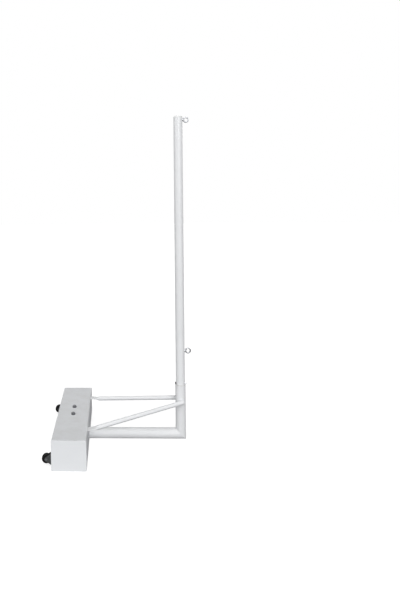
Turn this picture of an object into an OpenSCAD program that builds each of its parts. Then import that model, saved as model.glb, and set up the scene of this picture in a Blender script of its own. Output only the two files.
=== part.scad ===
// Freestanding badminton net post: a weighted base on two transport wheels carries a lift-out mast.
// X runs from the ballast box towards the net, Y runs along the ballast box, and Z is up.
// The mast and the arm lie in the plane Y = 0, about which the whole post is symmetrical.
// Every sub-part is drawn about the foot of the mast axis, and in_frame() moves it to the origin,
// which is the middle of the post's footprint on the floor.

/* [Mast] */
// Height of the cap's top above the floor
post_h = 1550; // [1400:1:1700]
// Outside diameter of the mast tube
mast_d = 42.4; // [38:0.1:46]
// Wall of the mast tube
mast_wall = 2; // [1.5:0.1:3]
// Length of the mast that stands inside the socket
mast_grip = 180; // [120:1:200]

/* [Mast cap] */
// Height of the cap's head above the end of the tube
cap_head_h = 10; // [9.5:0.5:14]
// Radius of the rounded edge of the head
cap_edge_r = 6; // [3:0.5:7]
// Radius of the crown of the head
cap_crown_r = 50; // [48:1:120]
// Length of the plug inside the tube
cap_plug_h = 24; // [18:1:40]
// Wall of the plug
cap_plug_wall = 2; // [1.5:0.1:3]
// Number of gripping fins round the plug
cap_fins = 4; // [3:1:5]
// Thickness of a gripping fin
cap_fin_t = 1.4; // [1:0.1:2]
// Depth of a gripping fin
cap_fin_depth = 1.6; // [1:0.1:2.5]
// Clearance between the fins and the tube
cap_fit = 0.1; // [0.05:0.05:0.3]
// Clearance of the notch in the plug round the insert of the upper eye
cap_notch_gap = 0.5; // [0.3:0.1:1]

/* [Net eyes] */
// Depth of the upper eye below the top of the post
upper_eye_drop = 20; // [18:1:60]
// Height of the lower eye above the floor
lower_eye_h = 422; // [320:1:900]
// Diameter of the hole in an eye
eye_hole_d = 16; // [12:0.5:22]
// Thickness of the ring of an eye
eye_wire_d = 7; // [5:0.5:9]
// Depth of the land rolled round the inside of the ring
eye_land = 0.5; // [0.2:0.1:1]
// Diameter of the threaded shank
eye_shank_d = 8; // [6:0.5:9]
// Length of the shank inside the face of the mast
eye_shank_l = 15; // [10:1:18]
// Diameter of the collar between ring and shank
eye_collar_d = 13; // [11:0.5:16]
// Thickness of the collar
eye_collar_t = 2.8; // [2:0.1:5]
// Depth that the ring runs into its collar
eye_collar_sink = 2; // [1:0.1:2.5]

/* [Threaded inserts] */
// Wall of an insert round its thread
insert_wall = 1.5; // [1:0.1:2]
// Length of an insert inside the face of the mast
insert_l = 13; // [9:1:17]
// Overhang of the flange round the hole
insert_flange_over = 2.5; // [1.5:0.1:4]
// Thickness of the flange
insert_flange_t = 1; // [0.8:0.1:1.6]
// Overhang of the crimped bulge inside the tube
insert_bulge_over = 1.5; // [1:0.1:2.5]
// Length of the crimped bulge
insert_bulge_l = 4; // [2:0.5:5]

/* [Stop bolt] */
// Diameter of the stop bolt
stop_bolt_d = 6; // [5:0.5:8]
// Width across the flats of its head and nut
stop_bolt_af = 10; // [9.5:0.5:13]
// Height of its head
stop_head_h = 4; // [3:0.1:6]
// Height of its nut
stop_nut_h = 5; // [4:0.1:7]
// Gap between the head and the rim of the socket that carries it
rest_gap = 0.3; // [0.1:0.1:0.5]

/* [Socket] */
// Height of the rim of the socket above the floor
socket_h = 260; // [230:1:340]
// Wall of the socket and of the arm
socket_wall = 2.6; // [2:0.1:4]
// Clearance round the mast in the socket
mast_play = 0.35; // [0.25:0.05:0.6]

/* [Arm] */
// Distance from the mast axis to the near side of the ballast box
arm_reach = 440; // [350:1:600]

/* [Braces] */
// Outside diameter of a brace
brace_d = 20; // [16:0.5:24]
// Wall of a brace
brace_wall = 2; // [1.5:0.1:2.5]
// Distance from the arm to the middle of a brace's flattened end, along the box
brace_spread = 167; // [120:1:220]
// Depth of the flattened end below the top of the box
brace_drop = 7; // [6:0.5:20]
// Height of a brace's axis where it passes the socket
brace_socket_h = 184; // [140:1:220]
// Depth of the saddle that the socket cuts in a brace
brace_bite = 5; // [3:0.5:7]
// Length that a brace runs past the socket's middle
brace_lap = 0; // [0:1:12]
// Length of the flattened end
paddle_l = 28; // [12:1:40]
// Length over which the tube goes from flat to round
flare_l = 22; // [20:1:60]

/* [Ballast box] */
// Width of the box, across its length
box_w = 150; // [140:1:200]
// Height of the box
box_h = 130; // [115:1:180]
// Length of the box over its end plates
box_l = 560; // [500:1:700]
// Wall of the box
box_wall = 3; // [2:0.5:5]
// Outer radius of the long edges
box_corner_r = 5; // [4:0.5:10]
// Thickness of an end plate
cover_t = 3; // [2:0.5:6]

/* [Ballast] */
// Number of ballast plates
plate_count = 4; // [3:1:6]
// Space between the plates and the long sides of the box
ballast_side_gap = 12; // [10:1:25]
// Space between the plates and the end plates
ballast_end_gap = 17; // [5:1:60]
// Space below the plates
ballast_floor_gap = 24; // [18:1:40]
// Space between one plate and the next
plate_gap = 0.2; // [0.1:0.1:0.5]
// Diameter of a ballast bolt
ballast_bolt_d = 10; // [8:1:12]
// Width across the flats of its head and nut
ballast_bolt_af = 16; // [15:1:19]
// Height of its head
ballast_head_h = 6.4; // [5:0.1:8]
// Height of its nut
ballast_nut_h = 8.4; // [7:0.1:10]
// Distance between the two ballast bolts
ballast_bolt_pitch = 76; // [50:1:200]
// Overhang of a washer round its hole
washer_over = 5; // [4:0.5:8]
// Thickness of a washer
washer_t = 2; // [1.5:0.1:3]

/* [Casters] */
// Diameter of a wheel
wheel_d = 40; // [36:1:44]
// Width of a wheel
wheel_w = 17; // [14:1:24]
// Thickness of the tyre
tyre_t = 5.5; // [4:0.5:7]
// Radius of the tyre's shoulders
tyre_shoulder_r = 3; // [2:0.5:4]
// Height of an axle above the floor
axle_h = 33; // [29:1:60]
// Distance of an axle from the side of the box
axle_out = 25; // [24:1:40]
// Distance of a wheel's middle from the end of the box
caster_inset = 42; // [20:1:120]
// Diameter of an axle bolt
axle_d = 6; // [5:0.5:7]
// Width across the flats of its head and nut
axle_af = 10; // [10:0.5:12]
// Height of its head
axle_head_h = 4; // [3:0.5:5]
// Height of its nut
axle_nut_h = 5; // [4:0.5:7]
// Wall of the sleeve round the axle bolt
sleeve_wall = 1.2; // [1:0.1:1.6]
// Clearance of the hub on its sleeve
axle_play = 0.08; // [0.03:0.01:0.1]

/* [Caster hub] */
// Wall of the hub's rim
hub_rim_t = 2.5; // [2:0.5:3]
// Distance of the hub's rim from the sides of the tyre
hub_recess = 1.5; // [0.5:0.5:3]
// Thickness of the hub's web
hub_web_t = 5; // [3:0.5:8]
// Wall of the hub's boss
hub_boss_t = 2.4; // [2:0.1:3]
// Number of ribs
hub_ribs = 6; // [4:1:8]
// Thickness of a rib
hub_rib_t = 1.6; // [1:0.1:2.5]

/* [Caster brackets] */
// Thickness of the bracket's plate
bracket_t = 2.5; // [2:0.5:3]
// Height of the bracket at the box
bracket_h = 50; // [46:1:56]
// Radius of the bracket's nose round the axle
bracket_nose_r = 8; // [7:0.5:10]
// Outer radius of the bracket's bends
bracket_bend_r = 4; // [3.5:0.5:6]
// Clearance between a wheel and each leg
fork_play = 0.6; // [0.4:0.1:1]
// Distance from the axle's height to each screw
screw_rise = 17; // [15:0.5:18]
// Diameter of a bracket screw
screw_d = 5; // [4:0.5:6]
// Diameter of its head
screw_head_d = 10; // [9:0.5:11]
// Height of its head
screw_head_h = 3.2; // [2.5:0.1:4]
// Length of a screw past the wall of the box
screw_past = 5; // [3:1:7]

/* [Fits] */
// Clearance of a screw in its thread or nut
thread_gap = 0.05; // [0.02:0.01:0.1]
// Clearance of a bolt or insert in its hole
hole_gap = 0.2; // [0.1:0.05:0.4]
// Clearance between the tyre and its hub
bond_gap = 0.05; // [0.02:0.01:0.1]

/* [Hidden] */
$fn = 96;

// Colours
white_paint = [0.90, 0.91, 0.92];
cap_white = [0.93, 0.94, 0.94];
zinc = [0.66, 0.68, 0.70];
dull_zinc = [0.46, 0.47, 0.49];
black_steel = [0.12, 0.12, 0.13];
bracket_grey = [0.26, 0.27, 0.28];
raw_steel = [0.42, 0.43, 0.45];
tyre_black = [0.05, 0.05, 0.05];
hub_black = [0.09, 0.09, 0.10];

// Length by which a cutting shape runs past what it cuts
over = 1;
// Length of thread that shows past a nut
thread_past = 3;
// Chamfer at the tip of a bolt
tip_chamfer = 1;
// Round face of a bolt head or nut, as a share of its width across the flats
hex_face_share = 0.95;
// Smallest radius inside the corners of the ballast box
least_corner_r = 0.5;

// Mast and socket
mast_r = mast_d / 2;
mast_bore_r = mast_r - mast_wall;
tube_top = post_h - cap_head_h;
mast_foot = socket_h - mast_grip;
socket_bore_r = mast_r + mast_play;
socket_r = socket_bore_r + socket_wall;
stop_h = socket_h + rest_gap + stop_bolt_af / 2;

// Net eyes and their inserts
upper_eye_h = post_h - upper_eye_drop;
insert_r = eye_shank_d / 2 + thread_gap + insert_wall;
insert_bulge_r = insert_r + insert_bulge_over;
insert_bulge_x = sqrt(pow(mast_bore_r, 2) - pow(insert_bulge_r, 2));
eye_ring_r = eye_hole_d / 2 + eye_wire_d / 2 - eye_land;
eye_outer_r = eye_ring_r + eye_wire_d / 2;
eye_seat_x = mast_r + insert_flange_t;
eye_x = eye_seat_x + eye_collar_t - eye_collar_sink + eye_outer_r;

// Ballast box and ballast
box_near_x = -arm_reach;
box_far_x = -arm_reach - box_w;
box_mid_x = (box_near_x + box_far_x) / 2;
plate_w = box_w - 2 * box_wall - 2 * ballast_side_gap;
plate_l = box_l - 2 * cover_t - 2 * ballast_end_gap;
plate_pitch = (box_h - 2 * box_wall - ballast_floor_gap + plate_gap) / plate_count;
ballast_hole_r = ballast_bolt_d / 2 + hole_gap;
ballast_low = box_wall + ballast_floor_gap;

// Braces
brace_r = brace_d / 2;
paddle_h = box_h - brace_drop;
paddle_t = 2 * brace_wall;
brace_offset = socket_r + brace_r - brace_bite;
brace_far = norm([arm_reach, brace_spread]);
brace_plan_angle = atan2(brace_spread, arm_reach) - asin(brace_offset / brace_far);
brace_run = sqrt(pow(brace_far, 2) - pow(brace_offset, 2));
brace_bend = paddle_l + flare_l / 2;
brace_slope = atan2(brace_socket_h - paddle_h, brace_run - brace_bend);
// The flared end runs this far into the round tube, and is this much thinner there
flare_tenon_l = 4;
flare_tenon_step = 0.1;
flare_rings = 10;
flare_sides = 32;

// Casters
wheel_r = wheel_d / 2;
axle_x = box_far_x - axle_out;
caster_y = box_l / 2 - caster_inset;
fork_half = wheel_w / 2 + fork_play;
bracket_half = fork_half + bracket_t;
sleeve_r = axle_d / 2 + thread_gap + sleeve_wall;
hub_bore_r = sleeve_r + axle_play;
hub_boss_r = hub_bore_r + hub_boss_t;
tyre_bore_r = wheel_r - tyre_t;
hub_r = tyre_bore_r - bond_gap;
hub_rim_w = wheel_w - 2 * hub_recess;

// Middle of the footprint: from the far side of the wheels to the far side of the net eyes
footprint_low_x = axle_x - wheel_r;
footprint_high_x = eye_x + eye_outer_r;
origin_x = -(footprint_low_x + footprint_high_x) / 2;

// Moves a sub-part from the foot of the mast axis to the origin of the post
module in_frame() {
    translate([origin_x, 0, 0]) children();
}

// Turns a shape drawn along Z so that it lies along X
module along_x() {
    rotate([0, 90, 0]) children();
}

// Turns a shape drawn along Z so that it lies along Y
module along_y() {
    rotate([-90, 0, 0]) children();
}

module tube(outer_r, inner_r, length) {
    difference() {
        cylinder(r = outer_r, h = length);
        translate([0, 0, -over]) cylinder(r = inner_r, h = length + 2 * over);
    }
}

// Hexagonal prism with its corners chamfered at the far end, as on bolt heads and nuts
module hex_blank(across_flats, height) {
    corner_r = across_flats / 2 / cos(30);
    face_r = across_flats / 2 * hex_face_share;
    drop = (corner_r - face_r) * tan(30);
    intersection() {
        rotate([0, 0, 30]) cylinder(r = corner_r, h = height, $fn = 6);
        rotate_extrude()
            polygon([[0, 0], [corner_r, 0], [corner_r, height - drop], [face_r, height], [0, height]]);
    }
}

// Hexagon bolt along Z: its head stands on the plane Z = 0 and its shank hangs below
module hex_bolt(shank_r, shank_l, across_flats, head_h) {
    hex_blank(across_flats, head_h);
    rotate_extrude() polygon([
        [0, -shank_l], [shank_r - tip_chamfer, -shank_l], [shank_r, tip_chamfer - shank_l],
        [shank_r, over], [0, over]
    ]);
}

module hex_nut(hole_r, across_flats, height) {
    difference() {
        hex_blank(across_flats, height);
        translate([0, 0, -over]) cylinder(r = hole_r, h = height + 2 * over);
    }
}

// Rectangle about the origin with round corners
module rounded_rectangle(width, height, corner_r) {
    square([width - 2 * corner_r, height], center = true);
    square([width, height - 2 * corner_r], center = true);
    for (x = [-1, 1], y = [-1, 1])
        translate([x * (width / 2 - corner_r), y * (height / 2 - corner_r)]) circle(r = corner_r);
}

// Mast

module mast_tube_shape() {
    difference() {
        translate([0, 0, mast_foot]) tube(mast_r, mast_bore_r, tube_top - mast_foot);
        translate([-mast_d, 0, stop_h]) along_x()
            cylinder(r = stop_bolt_d / 2 + hole_gap, h = 2 * mast_d);
        for (z = [lower_eye_h, upper_eye_h])
            translate([0, 0, z]) along_x() cylinder(r = insert_r + hole_gap, h = mast_d);
    }
}

// Half section of the cap's head: a straight rim, a round edge and a crown that meets it tangentially.
// The crown is cut to a wedge, which runs through the middle of the edge's circle and past it.
module cap_head_profile() {
    edge_x = mast_r - cap_edge_r;
    crown_z = cap_head_h - cap_crown_r;
    edge_z = crown_z + sqrt(pow(cap_crown_r - cap_edge_r, 2) - pow(edge_x, 2));
    wedge = 2 * [edge_x, edge_z - crown_z];
    square([mast_r, edge_z]);
    intersection() {
        translate([edge_x, edge_z]) circle(r = cap_edge_r);
        square([mast_r + over, cap_head_h]);
    }
    intersection() {
        translate([0, crown_z]) circle(r = cap_crown_r);
        polygon([
            [0, 0], [edge_x, 0], [edge_x, edge_z],
            [wedge[0], crown_z + wedge[1]], [0, crown_z + wedge[1]]
        ]);
    }
}

// Hollow plug with fins, notched on the net side to clear the insert of the upper eye
module cap_plug() {
    fin_r = mast_bore_r - cap_fit;
    plug_r = fin_r - cap_fin_depth;
    fin_pitch = cap_plug_h / (cap_fins + 1);
    notch_half = insert_bulge_r + cap_notch_gap;
    difference() {
        union() {
            translate([0, 0, -cap_plug_h]) tube(plug_r, plug_r - cap_plug_wall, cap_plug_h + over);
            for (i = [1:cap_fins])
                translate([0, 0, -i * fin_pitch - cap_fin_t / 2])
                    tube(fin_r, plug_r - cap_plug_wall / 2, cap_fin_t);
        }
        translate([0, -notch_half, upper_eye_h - tube_top - mast_d])
            cube([mast_r, 2 * notch_half, mast_d + notch_half]);
    }
}

module mast_cap_shape() {
    translate([0, 0, tube_top]) {
        rotate_extrude() cap_head_profile();
        cap_plug();
    }
}

// Ring with a flat land round its hole, a collar, and a threaded shank through the insert
module net_eye_shape(height) {
    translate([eye_x, 0, height]) along_y() rotate_extrude() intersection() {
        translate([eye_ring_r, 0]) circle(r = eye_wire_d / 2);
        translate([eye_hole_d / 2, -eye_wire_d]) square([2 * eye_wire_d, 2 * eye_wire_d]);
    }
    translate([eye_seat_x, 0, height]) along_x() cylinder(r = eye_collar_d / 2, h = eye_collar_t);
    translate([mast_r - eye_shank_l, 0, height]) along_x()
        cylinder(r = eye_shank_d / 2, h = eye_shank_l + insert_flange_t + over);
}

// Threaded insert: its flange lies on the tube, and its bulge is crimped behind the wall
module eye_insert_shape(height) {
    translate([0, 0, height]) difference() {
        union() {
            translate([mast_r - insert_l, 0, 0]) along_x()
                cylinder(r = insert_r, h = insert_l + insert_flange_t);
            translate([mast_r, 0, 0]) along_x()
                cylinder(r = insert_r + insert_flange_over, h = insert_flange_t);
            translate([insert_bulge_x - insert_bulge_l, 0, 0]) along_x()
                cylinder(r = insert_bulge_r, h = insert_bulge_l);
        }
        along_x() cylinder(r = eye_shank_d / 2 + thread_gap, h = mast_d);
    }
}

// The bolt crosses the mast with its head on the box side, one flat down on the socket rim
module stop_bolt_shape() {
    translate([-mast_r, 0, stop_h]) rotate([0, -90, 0])
        hex_bolt(stop_bolt_d / 2, mast_d + stop_nut_h + thread_past, stop_bolt_af, stop_head_h);
}

module stop_nut_shape() {
    translate([mast_r, 0, stop_h]) along_x()
        hex_nut(stop_bolt_d / 2 + thread_gap, stop_bolt_af, stop_nut_h);
}

// Welded frame

// Block that fills the socket's side of the mitre: the socket keeps what is in it, and the arm the rest
module mitre_cutter(length) {
    translate([0, 0, socket_r]) rotate([0, 45, 0])
        translate([-length, -length, 0]) cube([2 * length, 2 * length, length]);
}

module socket_tube_shape() {
    intersection() {
        tube(socket_r, socket_bore_r, socket_h);
        mitre_cutter(2 * socket_h);
    }
}

module base_arm_shape() {
    difference() {
        translate([-arm_reach, 0, socket_r]) along_x()
            tube(socket_r, socket_bore_r, arm_reach + 2 * socket_r);
        mitre_cutter(4 * socket_r);
    }
}

// Flattened tube keeps its girth: half width of the section whose half height is given
function flat_half_w(half_h) = half_h + PI * (brace_r - flare_tenon_step - half_h) / 2;

// Height of the brace's axis, x along its run: level in the flattened end, then bent to its slope
function brace_axis_z(x) =
    x <= paddle_l ? 0
    : x <= paddle_l + flare_l ? tan(brace_slope) * pow(x - paddle_l, 2) / (2 * flare_l)
    : tan(brace_slope) * (x - brace_bend);

// Side of the stadium that point i lies on: 1 or -1, and 0 in the middle of a flat
function flat_side(i) =
    i % (flare_sides / 2) == flare_sides / 4 ? 0
    : abs(i - flare_sides / 2) > flare_sides / 4 ? 1
    : -1;

// One ring of the loft: a stadium across the run at x
function flat_ring(x, half_h) = [
    for (i = [0:flare_sides - 1])
        let (a = 360 * i / flare_sides)
        [x, (flat_half_w(half_h) - half_h) * flat_side(i) + half_h * cos(a),
            brace_axis_z(x) + half_h * sin(a)]
];

// Flattened end and flare, lofted through stadium rings that end as a circle inside the round tube
module flattened_end() {
    round_h = brace_r - flare_tenon_step;
    flat_h = paddle_t / 2;
    rings = concat(
        [flat_ring(-brace_d, flat_h)],
        [for (i = [0:flare_rings])
            let (t = i / flare_rings)
            flat_ring(paddle_l + flare_l * t, flat_h + (round_h - flat_h) * (1 - cos(180 * t)) / 2)],
        [flat_ring(paddle_l + flare_l + flare_tenon_l, round_h)]
    );
    last = len(rings) - 1;
    n = flare_sides;
    polyhedron(
        points = [for (ring = rings) for (p = ring) p],
        faces = concat(
            [[for (i = [0:n - 1]) i]],
            [[for (i = [n - 1:-1:0]) last * n + i]],
            [for (r = [0:last - 1], i = [0:n - 1])
                [r * n + i, (r + 1) * n + i, (r + 1) * n + (i + 1) % n]],
            [for (r = [0:last - 1], i = [0:n - 1])
                [r * n + i, (r + 1) * n + (i + 1) % n, r * n + (i + 1) % n]]
        ),
        convexity = 4
    );
}

// Brace in its own frame: it starts at the box at the origin and runs along X, rising to the socket
module brace_blank() {
    start = paddle_l + flare_l;
    length = (brace_run + brace_lap - start) / cos(brace_slope);
    flattened_end();
    translate([start, 0, brace_axis_z(start)]) rotate([0, 90 - brace_slope, 0]) difference() {
        cylinder(r = brace_r, h = length);
        translate([0, 0, flare_tenon_l]) cylinder(r = brace_r - brace_wall, h = length - 2 * flare_tenon_l);
    }
}

// Front brace: cut flush to the side of the box, and saddle-cut to the socket
module front_brace_shape() {
    reach = 2 * brace_d;
    difference() {
        translate([box_near_x, -brace_spread, paddle_h]) rotate([0, 0, brace_plan_angle]) brace_blank();
        translate([box_near_x - reach, -brace_spread - reach, paddle_h - reach])
            cube([reach, 2 * reach, 2 * reach]);
        cylinder(r = socket_r, h = socket_h);
    }
}

// Ballast box

// Outline of the box, extruded along Y from y_low
module box_prism(inset, y_low, length) {
    translate([box_mid_x, y_low, box_h / 2]) rotate([90, 0, 0]) mirror([0, 0, 1])
        linear_extrude(height = length)
            rounded_rectangle(box_w - 2 * inset, box_h - 2 * inset, box_corner_r - inset);
}

module ballast_box_shape() {
    tube_l = box_l - 2 * cover_t;
    difference() {
        box_prism(0, -tube_l / 2, tube_l);
        translate([box_mid_x, -box_l, box_h / 2]) rotate([90, 0, 0]) mirror([0, 0, 1])
            linear_extrude(height = 2 * box_l)
                rounded_rectangle(box_w - 2 * box_wall, box_h - 2 * box_wall,
                                  max(box_corner_r - box_wall, least_corner_r));
        for (y = [-1, 1])
            translate([box_mid_x, y * ballast_bolt_pitch / 2, box_h / 2])
                cylinder(r = ballast_hole_r, h = box_h);
        for (y = [-1, 1], z = [-1, 1])
            translate([box_far_x - over, y * caster_y, axle_h + z * screw_rise]) along_x()
                cylinder(r = screw_d / 2 + thread_gap, h = box_wall + 2 * over);
    }
}

module box_cover_shape() {
    box_prism(0, -box_l / 2, cover_t);
}

module ballast_plates_shape() {
    for (i = [0:plate_count - 1])
        difference() {
            translate([box_mid_x - plate_w / 2, -plate_l / 2, ballast_low + i * plate_pitch])
                cube([plate_w, plate_l, plate_pitch - plate_gap]);
            for (y = [-1, 1])
                translate([box_mid_x, y * ballast_bolt_pitch / 2, 0])
                    cylinder(r = ballast_hole_r, h = box_h);
        }
}

// Puts children, drawn with their seat on Z = 0, at both bolts at the given height
module at_ballast_bolts(height) {
    for (y = [-1, 1]) translate([box_mid_x, y * ballast_bolt_pitch / 2, height]) children();
}

module ballast_bolts_shape() {
    seat = box_h + washer_t;
    at_ballast_bolts(seat)
        hex_bolt(ballast_bolt_d / 2, seat - ballast_low + ballast_nut_h + thread_past,
                 ballast_bolt_af, ballast_head_h);
}

module ballast_washers_shape() {
    at_ballast_bolts(box_h) tube(ballast_hole_r + washer_over, ballast_hole_r, washer_t);
}

module ballast_nuts_shape() {
    at_ballast_bolts(ballast_low) mirror([0, 0, 1])
        hex_nut(ballast_bolt_d / 2 + thread_gap, ballast_bolt_af, ballast_nut_h);
}

// Casters, drawn for the front one about its axle

// Puts children, drawn about the middle of an axle, at the front caster
module at_front_axle() {
    translate([axle_x, -caster_y, axle_h]) children();
}

// Point where a line from p touches the upper side of a circle about the origin
function tangent_point(p, r) =
    let (far = norm(p), a = atan2(p[1], p[0]) + acos(r / far))
    [r * cos(a), r * sin(a)];

// Side view of a fork leg: the full height at the box, tapering to a round nose at the axle
module fork_leg_profile() {
    corner = [axle_out - bracket_t, bracket_h / 2];
    touch = tangent_point(corner, bracket_nose_r);
    circle(r = bracket_nose_r);
    polygon([
        [axle_out, -bracket_h / 2], [axle_out, bracket_h / 2], corner, touch,
        [touch[0], -touch[1]], [corner[0], -corner[1]]
    ]);
}

// Plan of the bent plate: a base on the box and two legs, with round bends
module fork_plan() {
    length = axle_out + bracket_nose_r + over;
    mid_x = axle_out - length / 2;
    difference() {
        intersection() {
            translate([mid_x - length / 2, 0])
                rounded_rectangle(2 * length, 2 * bracket_half, bracket_bend_r);
            translate([mid_x, 0]) square([length, 3 * bracket_half], center = true);
        }
        translate([mid_x - length / 2 - bracket_t, 0])
            rounded_rectangle(2 * length, 2 * fork_half, bracket_bend_r - bracket_t);
    }
}

module caster_bracket_shape() {
    at_front_axle() difference() {
        intersection() {
            translate([0, 0, -bracket_h]) linear_extrude(height = 2 * bracket_h) fork_plan();
            rotate([90, 0, 0]) translate([0, 0, -2 * bracket_half])
                linear_extrude(height = 4 * bracket_half) fork_leg_profile();
        }
        translate([0, -2 * bracket_half, 0]) along_y()
            cylinder(r = axle_d / 2 + hole_gap, h = 4 * bracket_half);
        for (z = [-1, 1])
            translate([0, 0, z * screw_rise]) along_x()
                cylinder(r = screw_d / 2 + hole_gap, h = 2 * axle_out);
    }
}

// Pan-head screws through the base of the bracket into the wall of the box
module caster_screws_shape() {
    edge_r = screw_head_h / 2;
    for (z = [-1, 1])
        at_front_axle() translate([axle_out - bracket_t, 0, z * screw_rise]) rotate([0, -90, 0]) {
            rotate_extrude() {
                square([screw_head_d / 2 - edge_r, screw_head_h]);
                square([screw_head_d / 2, screw_head_h - edge_r]);
                translate([screw_head_d / 2 - edge_r, screw_head_h - edge_r]) circle(r = edge_r);
            }
            translate([0, 0, -bracket_t - box_wall - screw_past])
                cylinder(r = screw_d / 2, h = bracket_t + box_wall + screw_past + over);
        }
}

module wheel_tyre_shape() {
    at_front_axle() along_y() rotate_extrude() intersection() {
        translate([wheel_r - tyre_t, 0]) rounded_rectangle(2 * tyre_t, wheel_w, tyre_shoulder_r);
        translate([tyre_bore_r, -wheel_w]) square([tyre_t + over, 2 * wheel_w]);
    }
}

// Moulded hub: rim, web, boss and ribs on both sides of the web
module wheel_hub_shape() {
    at_front_axle() along_y() difference() {
        union() {
            translate([0, 0, -hub_rim_w / 2]) tube(hub_r, hub_r - hub_rim_t, hub_rim_w);
            translate([0, 0, -hub_web_t / 2]) cylinder(r = hub_r - hub_rim_t / 2, h = hub_web_t);
            translate([0, 0, -wheel_w / 2]) cylinder(r = hub_boss_r, h = wheel_w);
            for (i = [0:hub_ribs - 1])
                rotate([0, 0, 360 * i / hub_ribs])
                    translate([hub_boss_r - hub_boss_t / 2, -hub_rib_t / 2, -hub_rim_w / 2 + hub_recess])
                        cube([hub_r - hub_rim_t / 2 - hub_boss_r + hub_boss_t / 2, hub_rib_t,
                              hub_rim_w - 2 * hub_recess]);
        }
        translate([0, 0, -wheel_w]) cylinder(r = hub_bore_r, h = 2 * wheel_w);
    }
}

module axle_sleeve_shape() {
    at_front_axle() translate([0, -fork_half, 0]) along_y()
        tube(sleeve_r, axle_d / 2 + thread_gap, 2 * fork_half);
}

// The nut shows at the end of the box, and the head is on the other leg
module axle_bolt_shape() {
    at_front_axle() translate([0, bracket_half, 0]) along_y()
        hex_bolt(axle_d / 2, 2 * bracket_half + axle_nut_h + thread_past, axle_af, axle_head_h);
}

module axle_nut_shape() {
    at_front_axle() translate([0, -bracket_half, 0]) rotate([90, 0, 0])
        hex_nut(axle_d / 2 + thread_gap, axle_af, axle_nut_h);
}

// Sub-parts

module mast_tube() {
    color(white_paint) in_frame() mast_tube_shape();
}

module mast_cap() {
    color(cap_white) in_frame() mast_cap_shape();
}

module upper_net_eye() {
    color(zinc) in_frame() net_eye_shape(upper_eye_h);
}

module lower_net_eye() {
    color(zinc) in_frame() net_eye_shape(lower_eye_h);
}

module upper_eye_insert() {
    color(zinc) in_frame() eye_insert_shape(upper_eye_h);
}

module lower_eye_insert() {
    color(zinc) in_frame() eye_insert_shape(lower_eye_h);
}

module stop_bolt() {
    color(black_steel) in_frame() stop_bolt_shape();
}

module stop_nut() {
    color(zinc) in_frame() stop_nut_shape();
}

module socket_tube() {
    color(white_paint) in_frame() socket_tube_shape();
}

module base_arm() {
    color(white_paint) in_frame() base_arm_shape();
}

module front_brace() {
    color(white_paint) in_frame() front_brace_shape();
}

module rear_brace() {
    color(white_paint) in_frame() mirror([0, 1, 0]) front_brace_shape();
}

module ballast_box() {
    color(white_paint) in_frame() ballast_box_shape();
}

module box_front_cover() {
    color(white_paint) in_frame() box_cover_shape();
}

module box_rear_cover() {
    color(white_paint) in_frame() mirror([0, 1, 0]) box_cover_shape();
}

module ballast_plates() {
    color(raw_steel) in_frame() ballast_plates_shape();
}

module ballast_bolts() {
    color(dull_zinc) in_frame() ballast_bolts_shape();
}

module ballast_washers() {
    color(dull_zinc) in_frame() ballast_washers_shape();
}

module ballast_nuts() {
    color(dull_zinc) in_frame() ballast_nuts_shape();
}

// Puts a piece of the front caster at the front, or mirrored at the rear
module caster_side(rear) {
    in_frame() mirror([0, rear ? 1 : 0, 0]) children();
}

module caster_bracket(rear) {
    color(bracket_grey) caster_side(rear) caster_bracket_shape();
}

module caster_screws(rear) {
    color(dull_zinc) caster_side(rear) caster_screws_shape();
}

module wheel_tyre(rear) {
    color(tyre_black) caster_side(rear) wheel_tyre_shape();
}

module wheel_hub(rear) {
    color(hub_black) caster_side(rear) wheel_hub_shape();
}

module axle_sleeve(rear) {
    color(zinc) caster_side(rear) axle_sleeve_shape();
}

module axle_bolt(rear) {
    color(dull_zinc) caster_side(rear) axle_bolt_shape();
}

module axle_nut(rear) {
    color(dull_zinc) caster_side(rear) axle_nut_shape();
}

mast_tube();
mast_cap();
upper_net_eye();
lower_net_eye();
upper_eye_insert();
lower_eye_insert();
stop_bolt();
stop_nut();
socket_tube();
base_arm();
front_brace();
rear_brace();
ballast_box();
box_front_cover();
box_rear_cover();
ballast_plates();
ballast_bolts();
ballast_washers();
ballast_nuts();
caster_bracket(false);  // front_caster_bracket
caster_screws(false);  // front_caster_screws
wheel_tyre(false);  // front_wheel_tyre
wheel_hub(false);  // front_wheel_hub
axle_sleeve(false);  // front_axle_sleeve
axle_bolt(false);  // front_axle_bolt
axle_nut(false);  // front_axle_nut
caster_bracket(true);  // rear_caster_bracket
caster_screws(true);  // rear_caster_screws
wheel_tyre(true);  // rear_wheel_tyre
wheel_hub(true);  // rear_wheel_hub
axle_sleeve(true);  // rear_axle_sleeve
axle_bolt(true);  // rear_axle_bolt
axle_nut(true);  // rear_axle_nut
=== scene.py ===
"""Looks of a freestanding badminton net post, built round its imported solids.

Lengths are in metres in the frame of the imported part: X runs from the ballast box towards the net,
Y runs along the ballast box, and Z is up. Colours are linear.
"""
import logging
import math
from dataclasses import dataclass, field
from enum import Enum
from typing import Any, Callable, Sequence

import bmesh
import bpy
from mathutils import Matrix, Vector


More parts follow.
